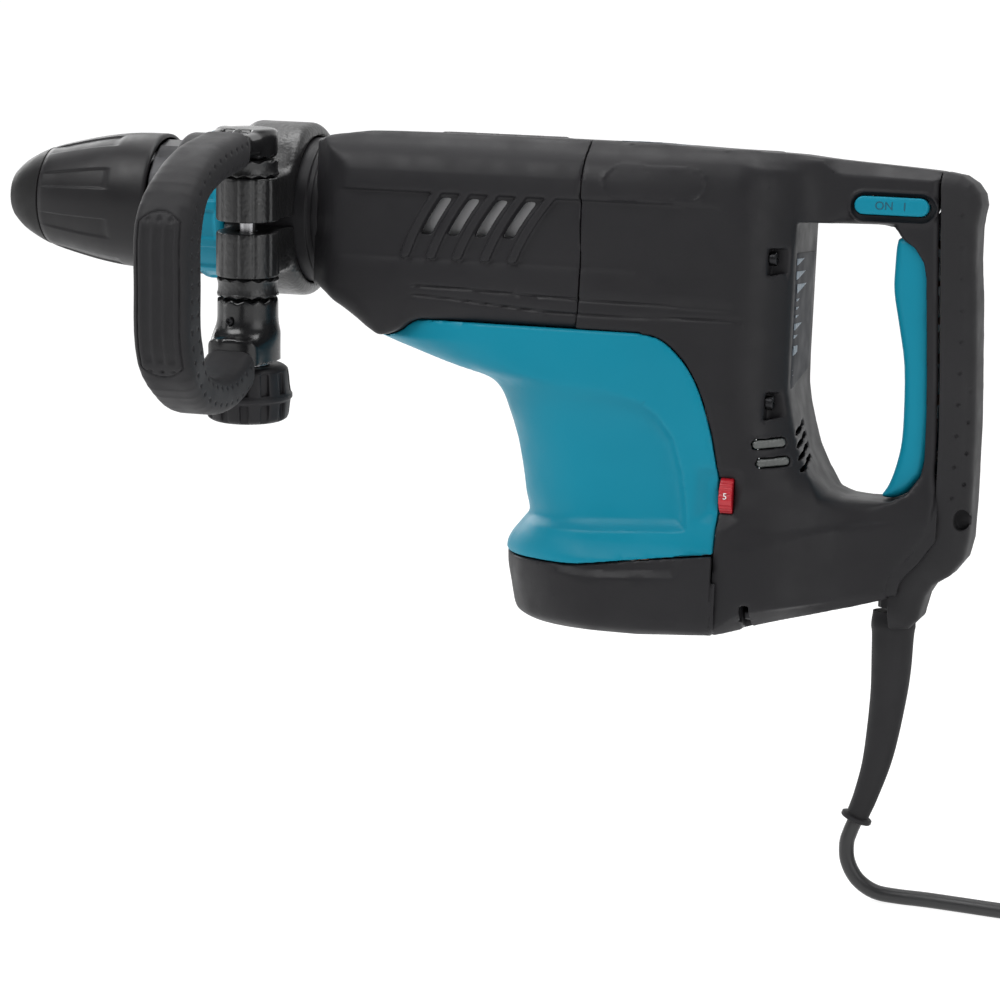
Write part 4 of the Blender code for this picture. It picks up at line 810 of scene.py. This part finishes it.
def rear_corner(b):
    """Plan view of the rear block, with a half-width that changes with height."""
    carry = ramp(b.x, 380.0, 462.0)
    bulge = smooth(b.z, SIDE_KNOTS[1:])
    plain = smooth(b.z, REAR_SIDE_KNOTS)
    plain = plain - 1.1 * np.maximum(smooth(b.x, BEVEL_LOW) - b.z, 0.0) * (b.x > 440)
    upper = ramp(b.z, -50.0, -30.0)
    half = plain + (bulge - plain) * (1 - carry) * upper
    half = both_grooves(b, half, 300, 455, 460)
    rear, corner = smooth(b.z, BLOCK_REAR), smooth(b.z, BLOCK_CORNER)
    return extruded(b.x - rear, side_field(b, half), corner)


def rear_outer(b):
    top, floor = smooth(b.x, TOP_LINE), smooth(b.x, UNDERSIDE)
    block = smax(rear_corner(b), floor - b.z, 7.0)
    strip = np.clip((b.z - smooth(b.x, STRIP_LOW)) / meet(smooth(b.x, STRIP_HIGH) - smooth(b.x, STRIP_LOW),
        1.0), 0, 1)
    half = smooth(b.x, ARM_HALF) - 1.1 * np.maximum(smooth(b.x, BEVEL_LOW) - b.z, 0.0)
    arm = smax(b.side - half, b.z - smooth(b.x, ARM_HIGH), 16.0)
    arm = meet(smax(arm, floor - b.z, 5.0), 446.0 - b.x)
    slab = extruded(polygon(SLAB, b.x, b.z), b.side - HANDLE_HALF, 5.0)
    slab = meet(slab, 441.0 - b.x)
    core = smin(block, arm, 10.0)
    core = core + 2.6 * strip * (1 - ramp(b.x, 525, 552)) * ramp(b.x, 450, 464) * (1 - ramp(b.z, -150.0,
        -136.0))
    body = smin(core, slab, 22.0)
    crease = smooth(b.x, CREASE)
    lift = meet(top - crease, 1.0)
    bevel = ((b.side - HANDLE_HALF) * lift + (b.z - crease) * 9.0) / np.sqrt(lift * lift + 81.0)
    bevel = np.where(b.x > 462, bevel, -30.0) - 20.0 * (1 - ramp(b.x, 462, 500))
    return smax(smax(core, bevel, 0.8), b.z - top, 1.2), smax(smax(body, bevel, 0.8), b.z - top, 1.2)


def rear_housing(b):
    core, body = rear_outer(b)
    hole = polygon(HOLE, b.x, b.z)
    rounding = 1.6 + 7.4 * ramp(b.x, 492.0, 502.0) * (1 - ramp(b.x, 522.0, 541.0))
    body = smax(body, -hole, rounding)
    body = meet(body, smooth(b.x, UNDERSIDE) - b.z)
    whole, hollow = body, meet(core + WALL, WALL - hole)
    for _, x, y, z in SCREWS:
        hollow = cut(hollow, cuboid(b, (x - WALL, x + 14), (y - 8, y + 10), (z - 10, z + 10), 0.5))
    body = cut(body, hollow)
    ducts = [((470, 566), DUCT, (12.0, 33.0)), ((541.0, 566), DUCT, (-168.0, 20.0)), ((529.0, 548.0), DUCT,
        (-7.0, 12.0)), ((537.0, 548.0), DUCT, (-7.0, 18.0))]
    for duct in ducts:
        body = cut(body, cuboid(b, *duct))
    body = cut(body, meet(np.hypot(b.x - CORD_X, b.y) - 13.0, b.z + 186.0))
    body = rear_details(b, body, whole)
    seam = polygon(SEAM_LINE + BEYOND, b.x, b.z)
    body = smax(body, -seam + 0.02, 0.4)
    tongue = meet(np.abs(whole + 2.4) - 1.2, -6.0 - seam, seam - 1.6)
    body = join(body, meet(tongue, 14.0 - np.hypot(b.x - CORD_X, b.y)))
    front = meet(COVER_END + 0.15 - b.x + seam_wave(b), join(-55.9 - b.z, (smooth(b.z, TEAL_REAR) + 0.35
        - b.x) * 0.8))
    front = meet(front, np.where(b.z < base_seam(446.0), 446.9 - b.x, -50))
    return smax(body, front, 0.7)


def rear_details(b, body, whole):
    for name, x, y, z in SCREWS:
        reach = 5.0 if name == "base_screw" else 17.5
        notch = cuboid(b, (x, x + reach), (-66, y + 4.6), (z - 9.6, z + 5.6), 1.0)
        slant = (z - 9.6 + 0.24 * (b.x - x)) - b.z
        body = cut(body, meet(notch, slant), 0.9)
    across = b.x * math.cos(AZIMUTH) + b.y * math.sin(AZIMUTH)
    for k in range(4):
        for start, width, raised in ((VENT_U[0], 2.0, 0.0), (VENT_U[1], 1.5, 3.6)):
            z = -106.6 - 6.5 * k + raised
            u = across - (start + 0.95 * k)
            slot = smax(np.abs(u - 0.30 * (b.z - z)) - width, np.abs(b.z - z - u * 0.5) - 1.5, 0.8)
            body = cut(body, meet(slot, b.y + 4.0, 476.0 - b.x), 0.4)
    for place, (_, x, z) in zip(LAMP_PLACE, LAMPS):
        inverse = place.inverted()
        u, v, w = (inverse[r][0] * b.x + inverse[r][1] * b.y + inverse[r][2] * b.z + inverse[r][3]
            for r in range(3))
        window = stadium(u, w, 10.6, 2.9)
        rim = meet(np.abs(window - 0.7) - 0.8, np.abs(v + 2.0) - 6.0)
        body = join(body, meet(rim, np.abs(body - 0.1) - 0.5))
        body = cut(body, meet(window, v - 4.4))
    body = join(cut(body, dial_recess(b), 0.8), dial_plate(b, whole))
    pocket = stadium(b.x - 528.6, b.z - 18.3, 23.2, 7.4)
    rim = np.abs(pocket - 0.6) - 1.0
    body = smin(body, meet(rim, -b.y - 22.8, b.y + 19.0), 0.8)
    body = cut(body, meet(pocket, b.y + 20.6), 0.6)
    body = cut(body, meet(stadium(b.x - 527.8, b.z - 19.0, 20.8, 5.45), b.side - 45.0))
    oval = stadium(b.x - 402.0, b.z - 25.0, 28.6, 9.0)
    lip = meet(np.abs(oval) - 0.8, np.abs(body) - 0.5, 48.0 - b.side)
    ridge = meet(np.abs(b.z - 45.6 + 0.02 * (b.x - 440)) - 0.5, bar(b.x, 420.0, 36.0))
    lip = join(lip, meet(ridge, np.abs(body) - 0.4))
    return smin(body, lip, 0.5)


HANDLE_REAR = [(538.75, -213.6), (549.0, -212.7), (554.2, -207.0), (557.3, -194.0), (561.0, -187.6),
    (570.0, -181.6), (577.0, -172.3), (579.6, -161.5), (579.9, -142.0), (579.7, -100.0), (578.7, -77.5),
    (576.3, -30.4), (574.2, -8.5), (573.9, 10.2), (575.7, 22.0), (574.4, 28.0), (570.3, 33.5),
    (563.7, 37.5), (553.2, 39.2)]
LANYARD = (575.2, -149.6)


def handle_cover(b):
    seam = polygon([(x + 0.2, z) for x, z in SEAM_LINE] + BEYOND, b.x, b.z)
    whole = polygon([(440, 45.6), (492, 43.4), (553, 39.2)] + HANDLE_REAR[::-1][1:] + [(525, -213.6),
        (440, -190)], b.x, b.z)
    body = extruded(whole, b.side - HANDLE_HALF, 10.0)
    top, crease = 38.4, smooth(b.x, CREASE)
    bevel = ((b.side - HANDLE_HALF) * (top - crease + 2.0) + (b.z - crease) * 9.0) / 10.9
    body = smax(body, bevel - 12.0 * ramp(b.x, 552, 572), 2.0)
    lean = [(-160, 1.6), (-80, 2.2), (-30, 0.8), (0, -1.4), (30, -2.0)]
    heights = [(x, start - 17.1 * k) for x, start in ((574.0, 24.0), (568.2, 16.0)) for k in range(10)]
    for x, z in ((x + float(smooth(np.array([z]), lean)[0]), z) for x, z in heights):
        for side in (-1, 1):
            near = (np.abs(b.x[:, 0, 0] - x) < 4), (np.abs(b.z[0, 0, :] - z) < 4)
            i, k = np.where(near[0])[0], np.where(near[1])[0]
            part = np.ix_(i, range(b.shape[1]), k)
            flat_y = HANDLE_HALF - 0.04 * max(0.0, x - 568.0) ** 2
            ball = np.sqrt((b.x[i] - x) ** 2 + (b.y - side * flat_y) ** 2 + (b.z[:, :, k] - z) ** 2) - 1.25
            body[part] = cut(body[part], ball, 0.4)
    body = smax(body, seam + 0.02, 0.4)
    hollow = meet(cuboid(b, (549.0, 571.0), DUCT, (-168.0, 30.0), 2.0), 14.0 - np.hypot(b.x - LANYARD[0],
        b.z - LANYARD[1]))
    body = cut(body, hollow)
    eye = np.hypot((b.x - LANYARD[0]) * 1.35, b.z - LANYARD[1]) - 5.8
    body = cut(body, meet(eye, b.y + 11.0), 0.8)
    return cut(body, meet(np.hypot(b.x - CORD_X, b.y) - 13.0, b.z + 184.0))


TRIGGER = [(531.0, 1.2), (530.0, -14.5), (530.4, -28.0), (534.1, -45.9), (538.2, -67.6), (539.5, -95.7),
    (538.9, -112.5), (536.0, -126.4), (533.0, -134.6), (530.2, -139.8), (536.6, -140.4), (543.8, -137.4),
    (549.6, -131.0), (553.8, -123.5), (555.6, -97.0), (554.6, -70.0), (552.4, -19.0), (551.4, 7.0),
    (546.0, 10.5), (541.0, 8.0), (536.4, 3.4)]


def trigger(b):
    body = extruded(polygon(closed_curve(TRIGGER, 3), b.x, b.z), b.side - 18.4, 5.5)
    return meet(body, 2.3 - np.hypot(b.x - 546.2, b.z - 4.5))


def lock_bar(b):
    return extruded(stadium(b.x - 527.8, b.z - 19.0, 20.3, 4.95), np.abs(b.y + 1.6) - 23.4, 1.2)


def housings():
    moulded("front_shell", (202, -58, -71), (364, 58, 51), 0.85, front_cover, BLACK, "tool",
        ("front_cover",))
    moulded("motor_shell", (226, -66, -191), (450, 66, -53), 1.05, motor_housing, TEAL, "tool",
        ("motor_housing",))
    moulded("base_shell", (312, -66, -226), (450, 66, -168), 1.0, base_cover, BLACK, "tool",
        ("base_cover",))
    moulded("rear_shell", (359, -60, -223), (563, 60, 50), 1.1, rear_housing, BLACK, "tool",
        ("rear_housing",))
    moulded("handle_back", (535, -25, -217), (583, 25, 43), 0.7, handle_cover, RUBBER, "tool",
        ("handle_cover",))
    moulded("trigger_lever", (527, -21, -144), (559, 21, 14), 0.7, trigger, TEAL, "trigger", ("trigger",))
    moulded("lock_slide_bar", (504, -28, 11), (553, 25, 27), 0.5, lock_bar, TEAL, "lock_bar", ("lock_bar",))


# ---- chuck, rings and barrel

def flutes(x, r, angles):
    """Eight long shallow recesses with firm edges."""
    if not 28.5 < x < 74.0 or r < 26.0:
        return 0.0
    t = (x - 28.5) / 45.5
    half = 0.155 + 0.02 * t
    phase = np.mod(angles - math.radians(26) + math.pi / 8, math.pi / 4) - math.pi / 8
    across = np.clip((half - np.abs(phase)) / 0.030, 0.0, 1.0)
    ends = min(1.0, (x - 28.5) / 9.0) * min(1.0, (74.0 - x) / 2.2)
    return 1.0 * across * across * (3 - 2 * across) * max(0.0, ends) ** 0.6


def ring_pockets(x, r, angles):
    if r < 41.0:
        return 0.0
    phase = np.mod(angles, math.pi / 6) - math.pi / 12
    across = np.clip((0.205 - np.abs(phase)) / 0.03, 0.0, 1.0)
    along = min(1.0, max(0.0, (x - 126.6) / 1.2)) * min(1.0, max(0.0, (143.4 - x) / 1.2))
    return 1.5 * across * across * (3 - 2 * across) * along


def chuck():
    cap = [(2.6, 10.4), (1.0, 10.2), (0.1, 11.0), (0.5, 13.2), (1.4, 14.6), (3.2, 16.4), (5.0, 18.1),
        (7.2, 19.9), (9.8, 21.5), (12.5, 22.9), (15.0, 24.1), (18.4, 25.5), (21.6, 26.6), (22.0, 26.3),
        (22.0, 20.4), (2.6, 13.5)]
    cap = [(2.6 + x * 1.075, r * (1.0 + 0.0031 * x)) for x, r in cap]
    turned("nose_cap", cap, CAP, "holder", ("chuck_cap",), 120, sharp=50)
    outer = [(26.6, 27.9), (27.0, 28.6), (29.9, 29.7), (35.5, 31.3), (41.5, 32.8), (48, 34.3), (54.4, 35.7),
        (60.8, 36.9), (67.2, 37.9), (73.5, 38.7), (80, 39.2), (87, 39.45), (95.6, 39.5), (97.4, 39.3),
        (98, 38.5)]
    inner = [(98, 37.4), (86, 37.2), (50.5, 32.5), (50.5, 20.5), (26.6, 20.5)]
    turned("chuck_shell", outer + inner, SLEEVE, "sleeve", ("chuck_sleeve",), 384, flutes, sharp=50)
    collar = rounded_profile([(112.0, 37.0), (112.0, 40.3), (113.7, 41.0), (122.6, 41.0), (123.6, 40.0),
        (124.8, 39.6), (124.8, 37.0)], 0.7)
    turned("black_collar", collar, BLACK, "collar", ("ring_collar",), 120)
    ring = rounded_profile([(125.1, 37.4), (125.1, 41.6), (126.8, 43.0), (143.0, 43.0), (146.4, 42.4),
        (148.2, 41.4), (148.2, 37.4)], 0.8)
    turned("grip_ring", ring, TEAL, "collar", ("change_ring",), 384, ring_pockets, sharp=60)
    tube_wall = rounded_profile([(126, 33.8), (126, 37.0), (149, 37.0), (149, 41.5), (197.0, 41.5),
        (197.6, 40.6), (200.4, 40.6), (201.0, 41.5), (204.65, 41.5), (204.65, 37.5), (222, 37.5),
        (222, 22.1), (150.4, 22.1), (150.4, 33.8)], 0.5)
    turned("barrel_tube", tube_wall, BLACK, "tool", ("barrel",), 120)


# ---- side grip

COLUMN_X, COLUMN_Y, COLUMN_R = 173.0, -68.0, 17.8
BAND_START, BAND_END, BAND_R, BAND_BORE = 149.5, 190.5, 49.9, 42.4
ARM_TOP, RING_TOP, LUG_TOP, GAP_TOP, GAP_LOW = 52.5, 36.4, 26.0, 1.3, -4.7
LUG_LOW, RING_LOW, BOSS_LOW, KNOB_LOW = -30.1, -41.7, -77.5, -112.0
GRIP_X = 172.0
GRIP_PATH = [(-80, 45.0), (-110, 42.5), (-140, 39.0), (-167, 29.0), (-184, 10.0), (-185.5, -20.0),
    (-184.5, -50.0), (-170, -73.0), (-146, -85.0), (-116, -86.5), (-86, -77.0)]


def about_column(b):
    """Distance from the grip's column, and the angle round it."""
    x, y = b.x - COLUMN_X, b.y - COLUMN_Y
    return np.hypot(x, y), np.arctan2(x, y)


def zigzag(angle):
    """0 to 1 and back round the column, 13 times a turn."""
    return np.abs(np.mod(angle * 13 / math.pi, 2.0) - 1.0)


def grip_line(b):
    path = curve_through([(y, z, 0.0) for y, z in GRIP_PATH], 4)
    return path_distance([(y, z) for y, z, _ in path], b.y, b.z)


def clamp_band(b):
    """Split band round the barrel with a hammered, ribbed column beside it."""
    around = np.hypot(b.y, b.z)
    middle = (BAND_START + BAND_END) / 2
    band = extruded(np.abs(b.x - middle) - (BAND_END - BAND_START) / 2, around - BAND_R, 6.5)
    band = cut(band, meet(np.abs(bar(b.x, middle, 15.0)) - 0.7, 50.2 - around), 0.6)
    column = np.hypot(b.x - COLUMN_X, b.y - COLUMN_Y)
    angle = np.arctan2(b.x - COLUMN_X, -(b.y - COLUMN_Y))
    channel = 0.9 * np.clip(1.0 - np.abs(np.mod(angle + 0.28, 0.56) - 0.28) / 0.10, 0, 1)
    lug = column - COLUMN_R + channel * (np.abs(b.z - 11) < 40)
    upper = smax(lug, meet(b.z - LUG_TOP, GAP_LOW - 0.2 - b.z), 1.2)
    lower = smax(lug, meet(b.z - GAP_LOW + 0.2, LUG_LOW - b.z), 1.2)
    bridge = smax(bar(b.x, COLUMN_X, 15.4), meet(within(b.y, COLUMN_Y, -42.0), within(b.z, LUG_LOW,
        LUG_TOP)), 3.0)
    body = smin(band, smin(smin(upper, bridge, 2.0), lower, 0.3), 5.0)
    split = meet(within(b.z, GAP_LOW, GAP_TOP), b.y + 30.0)
    body = cut(body, split, 1.0)
    body = cut(body, meet(column - 5.4, within(b.z, -60.0, 60.0)), 0.5)
    return smax(body, BAND_BORE - around, 0.6)


def teeth_ring(low, high):
    """Ring with zigzag edges where it meets the arm and the lug."""
    def field(b):
        column, angle = about_column(b)
        saw = zigzag(angle)
        outside = np.clip((column - 15.2) / 1.2, 0.0, 1.0)
        rise = 1.6 * saw * outside
        flank = meet(b.z - high + rise, low + rise - b.z)
        waist = 0.8 * np.clip(1.0 - np.abs(b.z - (low + high) / 2) / ((high - low) / 2 - 1.8), 0, 1) ** 0.4
        return smax(meet(column - COLUMN_R + 0.35 + waist, 5.4 - column), flank, 0.5)
    return field


def grip_frame(b):
    """Hard eye over the column, the core of the D and the boss and elbow under the column."""
    column, angle = about_column(b)
    away, _ = grip_line(b)
    core = smax(away - 6.0, bar(b.x, GRIP_X, 8.0), 4.0)
    saw = 1.6 * (1.0 - zigzag(angle)) * np.clip((column - 13.5) / 1.2, 0.0, 1.0)
    eye = smax(column - 16.8, meet(b.z - ARM_TOP, RING_TOP + GAP + saw - b.z), 3.0)
    level = 1.5 + 0.10 * np.maximum(-b.y - 68.0, 0)
    arm = smax(np.abs(b.x - GRIP_X + 0.5) - 15.0, meet(within(b.y, -100.2, COLUMN_Y), b.z - ARM_TOP + 0.4,
        RING_TOP + level - b.z), 4.0)
    top = smin(eye, arm, 4.0)
    dent = smax(bar(b.x, GRIP_X, 8.6), meet(np.abs(b.y + 88.0) - 7.0, 48.9 - b.z), 2.0)
    rib = bar(b.x, GRIP_X, 1.1)
    top = cut(top, meet(dent, -rib), 1.2)
    boss = smax(column - 17.2, meet(b.z - RING_LOW + GAP + saw, BOSS_LOW - b.z), 1.6)
    elbow = smax(bar(b.x, GRIP_X, 14.6), meet(within(b.y, -93.2, COLUMN_Y), b.z + 66.0 + 0.10
        * (b.y + 68.0), -92.0 - b.z), 6.0)
    low = smin(boss, elbow, 13.0)
    low = cut(low, meet(np.hypot(b.x - 168.5, b.z + 54.0) - 2.6, b.y + 84.6), 0.4)
    body = join(smin(top, core, 3.0), smin(low, core, 5.0))
    knob_room = meet(column - 27.0, b.z - BOSS_LOW + 0.02)
    body = cut(body, knob_room)
    body = cut(body, meet(column - 5.4, b.z - ARM_TOP + 6.0))
    between = meet(column - COLUMN_R - 1.2, b.z - RING_TOP - 0.05 - saw, RING_LOW + 0.05 - b.z)
    return cut(body, between)


def grip_rubber(b):
    away, along = grip_line(b)
    share = along / float(along.max())
    held = ramp(share, 0.28, 0.40) * (1 - ramp(share, 0.62, 0.72))
    thick, half = 10.4 + 3.6 * held, 15.0 + 1.0 * held
    across = b.x - GRIP_X
    outer_side = (b.y < -150) & (b.z < 30) & (b.z > -76) | (b.y < -176)
    rise = 5.5 * (across / 12.0) ** 2
    panel = (b.z < 21.5 - rise) & (b.z > -68.0 + rise) & (np.abs(across) < 12.3)
    rim = join(21.5 - rise - b.z, b.z + 68.0 - rise, 12.3 - np.abs(across))
    lowered = 1.0 * np.clip(1.0 - np.abs(rim - 0.6) / 0.8, 0, 1) * ((rim > -0.6) | panel)
    for x in (-6.6, 0.0, 6.6):
        w = np.abs(across - x)
        channel = np.clip(1.0 - (w / 2.7) ** 2, 0, 1) * ramp(b.z, -61.0, -58.0) * (1 - ramp(b.z, 11.0,
            15.0))
        ends = np.clip(1.0 - ((w / 1.7) ** 2 + ((b.z + 64.2) / 1.3) ** 2), 0, 1) * 1.3
        notch = np.clip(1.0 - (w + np.abs(b.z - 16.8) * 0.7) / 2.2, 0, 1) * 1.4
        lowered = meet(lowered, 1.5 * channel, ends, notch)
    body = smax(away - thick, np.abs(across) - half, 9.0)
    body = body + lowered * outer_side * 0.9
    dents = [(-8.5, 28.5), (0.0, 30.5), (8.5, 28.5), (-8.5, -73.5), (0.0, -75.0), (8.5, -73.5)]
    for x, z in dents:
        body = smax(body, -(np.hypot(across - x, b.z - z) - 1.3) * outer_side - 50.0 * ~outer_side - meet(0,
            body + 1.1) * 3.0, 0.4)
    cells = np.abs(np.mod(along + 4.0, 8.0) - 4.0)
    for row in (-4.6, 4.6):
        ball = np.sqrt(cells ** 2 + (np.where(b.y < -184, -away, away) - row) ** 2 + (np.abs(across)
            - half) ** 2) - 1.2
        body = cut(body, ball, 0.3)
    core = smax(away - 6.35, np.abs(across) - 8.35, 4.0)
    body = cut(body, core)
    upper_end, lower_end = meet(-100.5 - b.y, -b.z), meet(-93.6 - b.y, b.z)
    body = cut(body, upper_end, 1.2)
    body = cut(body, lower_end, 1.2)
    return cut(body, meet(np.hypot(b.x - COLUMN_X, b.y - COLUMN_Y) - 27.0, b.z - BOSS_LOW))


def knob(b):
    """Twelve-lobed knob: two tiers of slots with a band between them."""
    column, angle = about_column(b)
    top, equator = BOSS_LOW - 3.0, BOSS_LOW - 3.0 - 17.5
    radius = smooth(b.z, [(KNOB_LOW, 21.6), (KNOB_LOW + 2.0, 22.9), (equator - 1.6, 24.5), (equator - 1.0,
        25.2), (equator + 1.0, 25.2), (equator + 1.6, 24.5), (top - 2.5, 22.6), (top, 21.0)])
    phase = np.mod(angle, math.pi / 6) - math.pi / 12
    slot = np.abs(phase) * 23.0 - 2.3
    tier = meet(join(np.abs(b.z - (top - 8.9)) - 5.9, np.abs(b.z - (KNOB_LOW + 6.4)) - 5.0), slot)
    body = smax(column - radius, within(b.z, KNOB_LOW, top), 2.6)
    body = cut(body, meet(tier, 21.6 - column), 0.9)
    dish = meet(np.abs(column - 11.5) - 4.5, b.z - KNOB_LOW - 1.4)
    body = cut(body, dish, 0.8)
    return cut(body, meet(column - 4.9, KNOB_LOW + 8.0 - b.z))


def side_handle():
    moulded("band_clamp", (147, -90, -55), (196, 55, 55), 0.75, clamp_band, SATIN, "clamp", ("clamp_band",),
        SIDE_TURN)
    for name, low, high in (("upper_teeth", LUG_TOP + GAP, RING_TOP - GAP), ("lower_teeth", RING_LOW + GAP,
            LUG_LOW - GAP)):
        moulded(name, (153, -88, low - 2), (193, -48, high + 2), 0.4, teeth_ring(low, high), SATIN, "clamp",
            (name.replace("teeth", "tooth_ring"),), SIDE_TURN)
    moulded("grip_core", (153, -197, -98), (193, -48, 56), 0.65, grip_frame, GLOSS, "side_grip",
        ("side_grip_frame",), SIDE_TURN)
    moulded("grip_sleeve", (153, -202, -104), (191, -80, 60), 0.6, grip_rubber, RUBBER, "side_grip",
        ("side_grip_rubber",), SIDE_TURN)
    moulded("clamp_wheel", (145, -96, -115), (201, -40, -78), 0.5, knob, BLACK, "knob", ("clamp_knob",),
        SIDE_TURN)


# ---- small parts and markings

def recessed_screw(name, centre, radius, depth, facing, spec, body, stands_for, turn=None):
    """Screw head with a cross slot; facing turns +x to the head's outward direction."""
    def head(b):
        r = np.hypot(b.y, b.z)
        body_field = smax(r - radius, meet(-depth - b.x, b.x), 0.5)
        slot = join(meet(np.abs(b.y) - 0.45, np.abs(b.z) - radius * 0.58), meet(np.abs(b.z) - 0.45,
            np.abs(b.y) - radius * 0.58))
        return cut(body_field, meet(slot, -1.3 - b.x))
    place = (turn or Matrix()) @ Matrix.Translation(centre) @ facing
    reach = radius + 0.6
    return moulded(name, (-depth - 0.6, -reach, -reach), (0.6, reach, reach), 0.16, head, spec, body,
        stands_for, place, sharp=30)


def words(name, text, size, place, spec, body, depth=0.25):
    """Raised lettering as a mesh."""
    curve = bpy.data.curves.new(name, "FONT")
    curve.body, curve.size, curve.extrude = text, size, depth
    curve.align_x, curve.align_y = "CENTER", "CENTER"
    holder = bpy.data.objects.new(name, curve)
    bpy.context.scene.collection.objects.link(holder)
    bpy.context.view_layer.update()
    mesh = bpy.data.meshes.new_from_object(holder)
    bpy.data.objects.remove(holder)
    mesh.name = name
    mesh.transform(TOOL @ place)
    return finish_object(name, mesh, spec, body, (), 30)


FACE_LEFT = Matrix.Rotation(math.radians(90), 4, "X")      # text plane facing -y


def small_parts():
    for name, x, y, z in SCREWS:
        recessed_screw(name + "_head", (x + 4.4, y, z), 3.9, 4.2, Matrix(), DARK_STEEL, "tool", (name,))
    toward = Matrix.Rotation(math.radians(-90), 4, "Z")
    recessed_screw("boss_screw_head", (168.5, COLUMN_Y - 18.2, -54.0), 2.2, 1.6, toward, DARK_STEEL,
        "side_grip", ("boss_screw",), SIDE_TURN)

    def wheel(b):
        r = np.hypot(b.y - DIAL_Y, b.z - DIAL_Z)
        angle = np.arctan2(b.y - DIAL_Y, b.z - DIAL_Z)
        teeth = 0.55 * np.clip(np.cos(angle * 30.0) + 0.2, 0, 1)
        flat = 1.0 - np.clip(1.6 - np.abs(np.mod(angle * 5 / math.pi, 2.0) - 1.0) * 4.0, 0, 1)
        return smax(r - 11.2 + teeth * flat, bar(b.x, DIAL_X, 3.7), 0.8)

    moulded("speed_wheel", (446, -60, -156), (457, -33, -129), 0.3, wheel, RED, "dial", ("speed_dial",))
    for k in range(5):
        turned_by = Matrix.Translation((DIAL_X, DIAL_Y, DIAL_Z)) @ Matrix.Rotation(2 * math.pi * k / 5, 4,
            "X")
        place = turned_by @ Matrix.Translation((0, -11.15, 0)) @ FACE_LEFT
        words("dial_number_%d" % k, str((k + 4) % 5 + 1), 5.0, place, WHITE_INK, "dial", 0.2)
    for place, (name, x, z) in zip(LAMP_PLACE, LAMPS):
        def lens(b):
            return extruded(stadium(b.x, b.z, 9.9, 2.3), bar(b.y, 0.6, 2.2), 0.8)

        moulded(name + "_lens", (-11, -5, -3.5), (11, 2, 3.5), 0.2, lens, LENS, "tool", (name,), place)
    place = Matrix.Translation((527.4, -25.0, 18.9)) @ FACE_LEFT
    words("switch_mark", "ON   I", 6.4, place, DARK_INK, "lock_bar", 0.12)
    tube("strain_relief", *guard_shape(), RUBBER, "tool", ("cord_guard",), 40)


def guard_shape():
    path = curve_through([(538.3, 0, -205.0), (538.6, 0, -222.0), (538.3, 0, -250.0), (534.5, 0, -286.0),
        (529.0, 0, -309.0), (523.5, 0, -325.0)], 9)
    count = len(path)
    radii = [float(smooth(np.array([k / (count - 1)]), [(0, 11.6), (0.08, 12.3), (0.12, 12.4), (0.14, 11.9),
        (0.3, 11.2), (0.5, 9.4), (0.7, 7.5), (0.85, 6.7), (1, 6.3)])[0]) for k in range(count)]
    end, ahead = Vector(path[-1]), (Vector(path[-1]) - Vector(path[-2])).normalized()
    for back, radius in ((3.4, 6.4), (3.0, 8.2), (2.6, 8.8), (1.0, 8.9), (0.4, 8.5), (0.0, 7.4)):
        path.append(tuple(end - ahead * (back - 0.001)))
        radii.append(radius)
    keep = [k for k in range(count) if (Vector(path[k]) - end).length > 3.6]
    path, radii = [path[k] for k in keep] + path[count:], [radii[k] for k in keep] + radii[count:]
    return path, radii


def labels():
    """Blank rating plate on the rear face and a blank film on the top, with plain printed bars."""
    def plate(lift, thick, window):
        def field(b):
            return meet(np.abs(rear_corner(b) - lift) - thick, window(b))
        return field

    def area(z0, z1, y0, y1):
        return lambda b: meet(z0 + 0.2 * (b.y + 27.0) - b.z, b.z - z1, within(b.y, y0, y1), 470.0 - b.x)

    moulded("rating_plate", (468, -30, -88), (482, 30, -5), 0.35, plate(0.15, 0.28, area(-84.0, -9.0, -27.5,
        27.5)), FILM, "tool", ("name_plate",), sharp=30)
    rows = [(-16, -12, -26, 20), (-24, -19, -26, 8), (-32, -26, -24, 22), (-36.5, -34, -24, 22),
        (-41, -38.5, -24, 22), (-45.5, -43, -24, 22), (-52, -47.5, -25, 22), (-56.5, -54, -25, 22),
        (-66, -60, -25, -15), (-74, -73, -25, 18), (-77, -76, -25, 18)]

    def print_rows(b):
        found = join(*[area(*row)(b) for row in rows])
        broken = 0.35 - np.abs(np.mod(b.y + 0.31 * b.z, 5.1) - 2.55)
        return meet(np.abs(rear_corner(b) - 0.62) - 0.22, found, broken)

    moulded("plate_print", (468, -30, -88), (482, 30, -5), 0.35, print_rows, GREY_INK, "tool", sharp=30)

    def film(b):
        flat = smax(bar(b.x, 391.5, 20.0), np.abs(b.y) - 24.5, 2.0)
        return smax(flat, np.abs(b.z - smooth(b.x, TOP_LINE) - 0.12) - 0.2, 0.1)

    moulded("top_film", (369, -27, 45.5), (414, 27, 48.6), 0.3, film, FILM, "tool", ("top_label",),
        sharp=30)

    def film_print(b):
        boxes = [(374.5, 381.5, -21, -8), (374.5, 381.5, 2, 20), (386, 388, -20, 20), (391, 393, -20, 14),
            (396, 398, -20, 18), (402, 408.5, -20, -6), (402, 408.5, 2, 16)]
        found = join(*[meet(within(b.x, x0, x1), within(b.y, y0, y1)) for x0, x1, y0, y1 in boxes])
        return meet(found, np.abs(b.z - smooth(b.x, TOP_LINE) - 0.36) - 0.12)

    moulded("top_print", (369, -27, 45.5), (414, 27, 48.6), 0.3, film_print, GREY_INK, "tool", sharp=30)


# ---- all pieces

studio()
finish_cad_nodes()
cord_and_plug()
housings()
chuck()
side_handle()
small_parts()
labels()
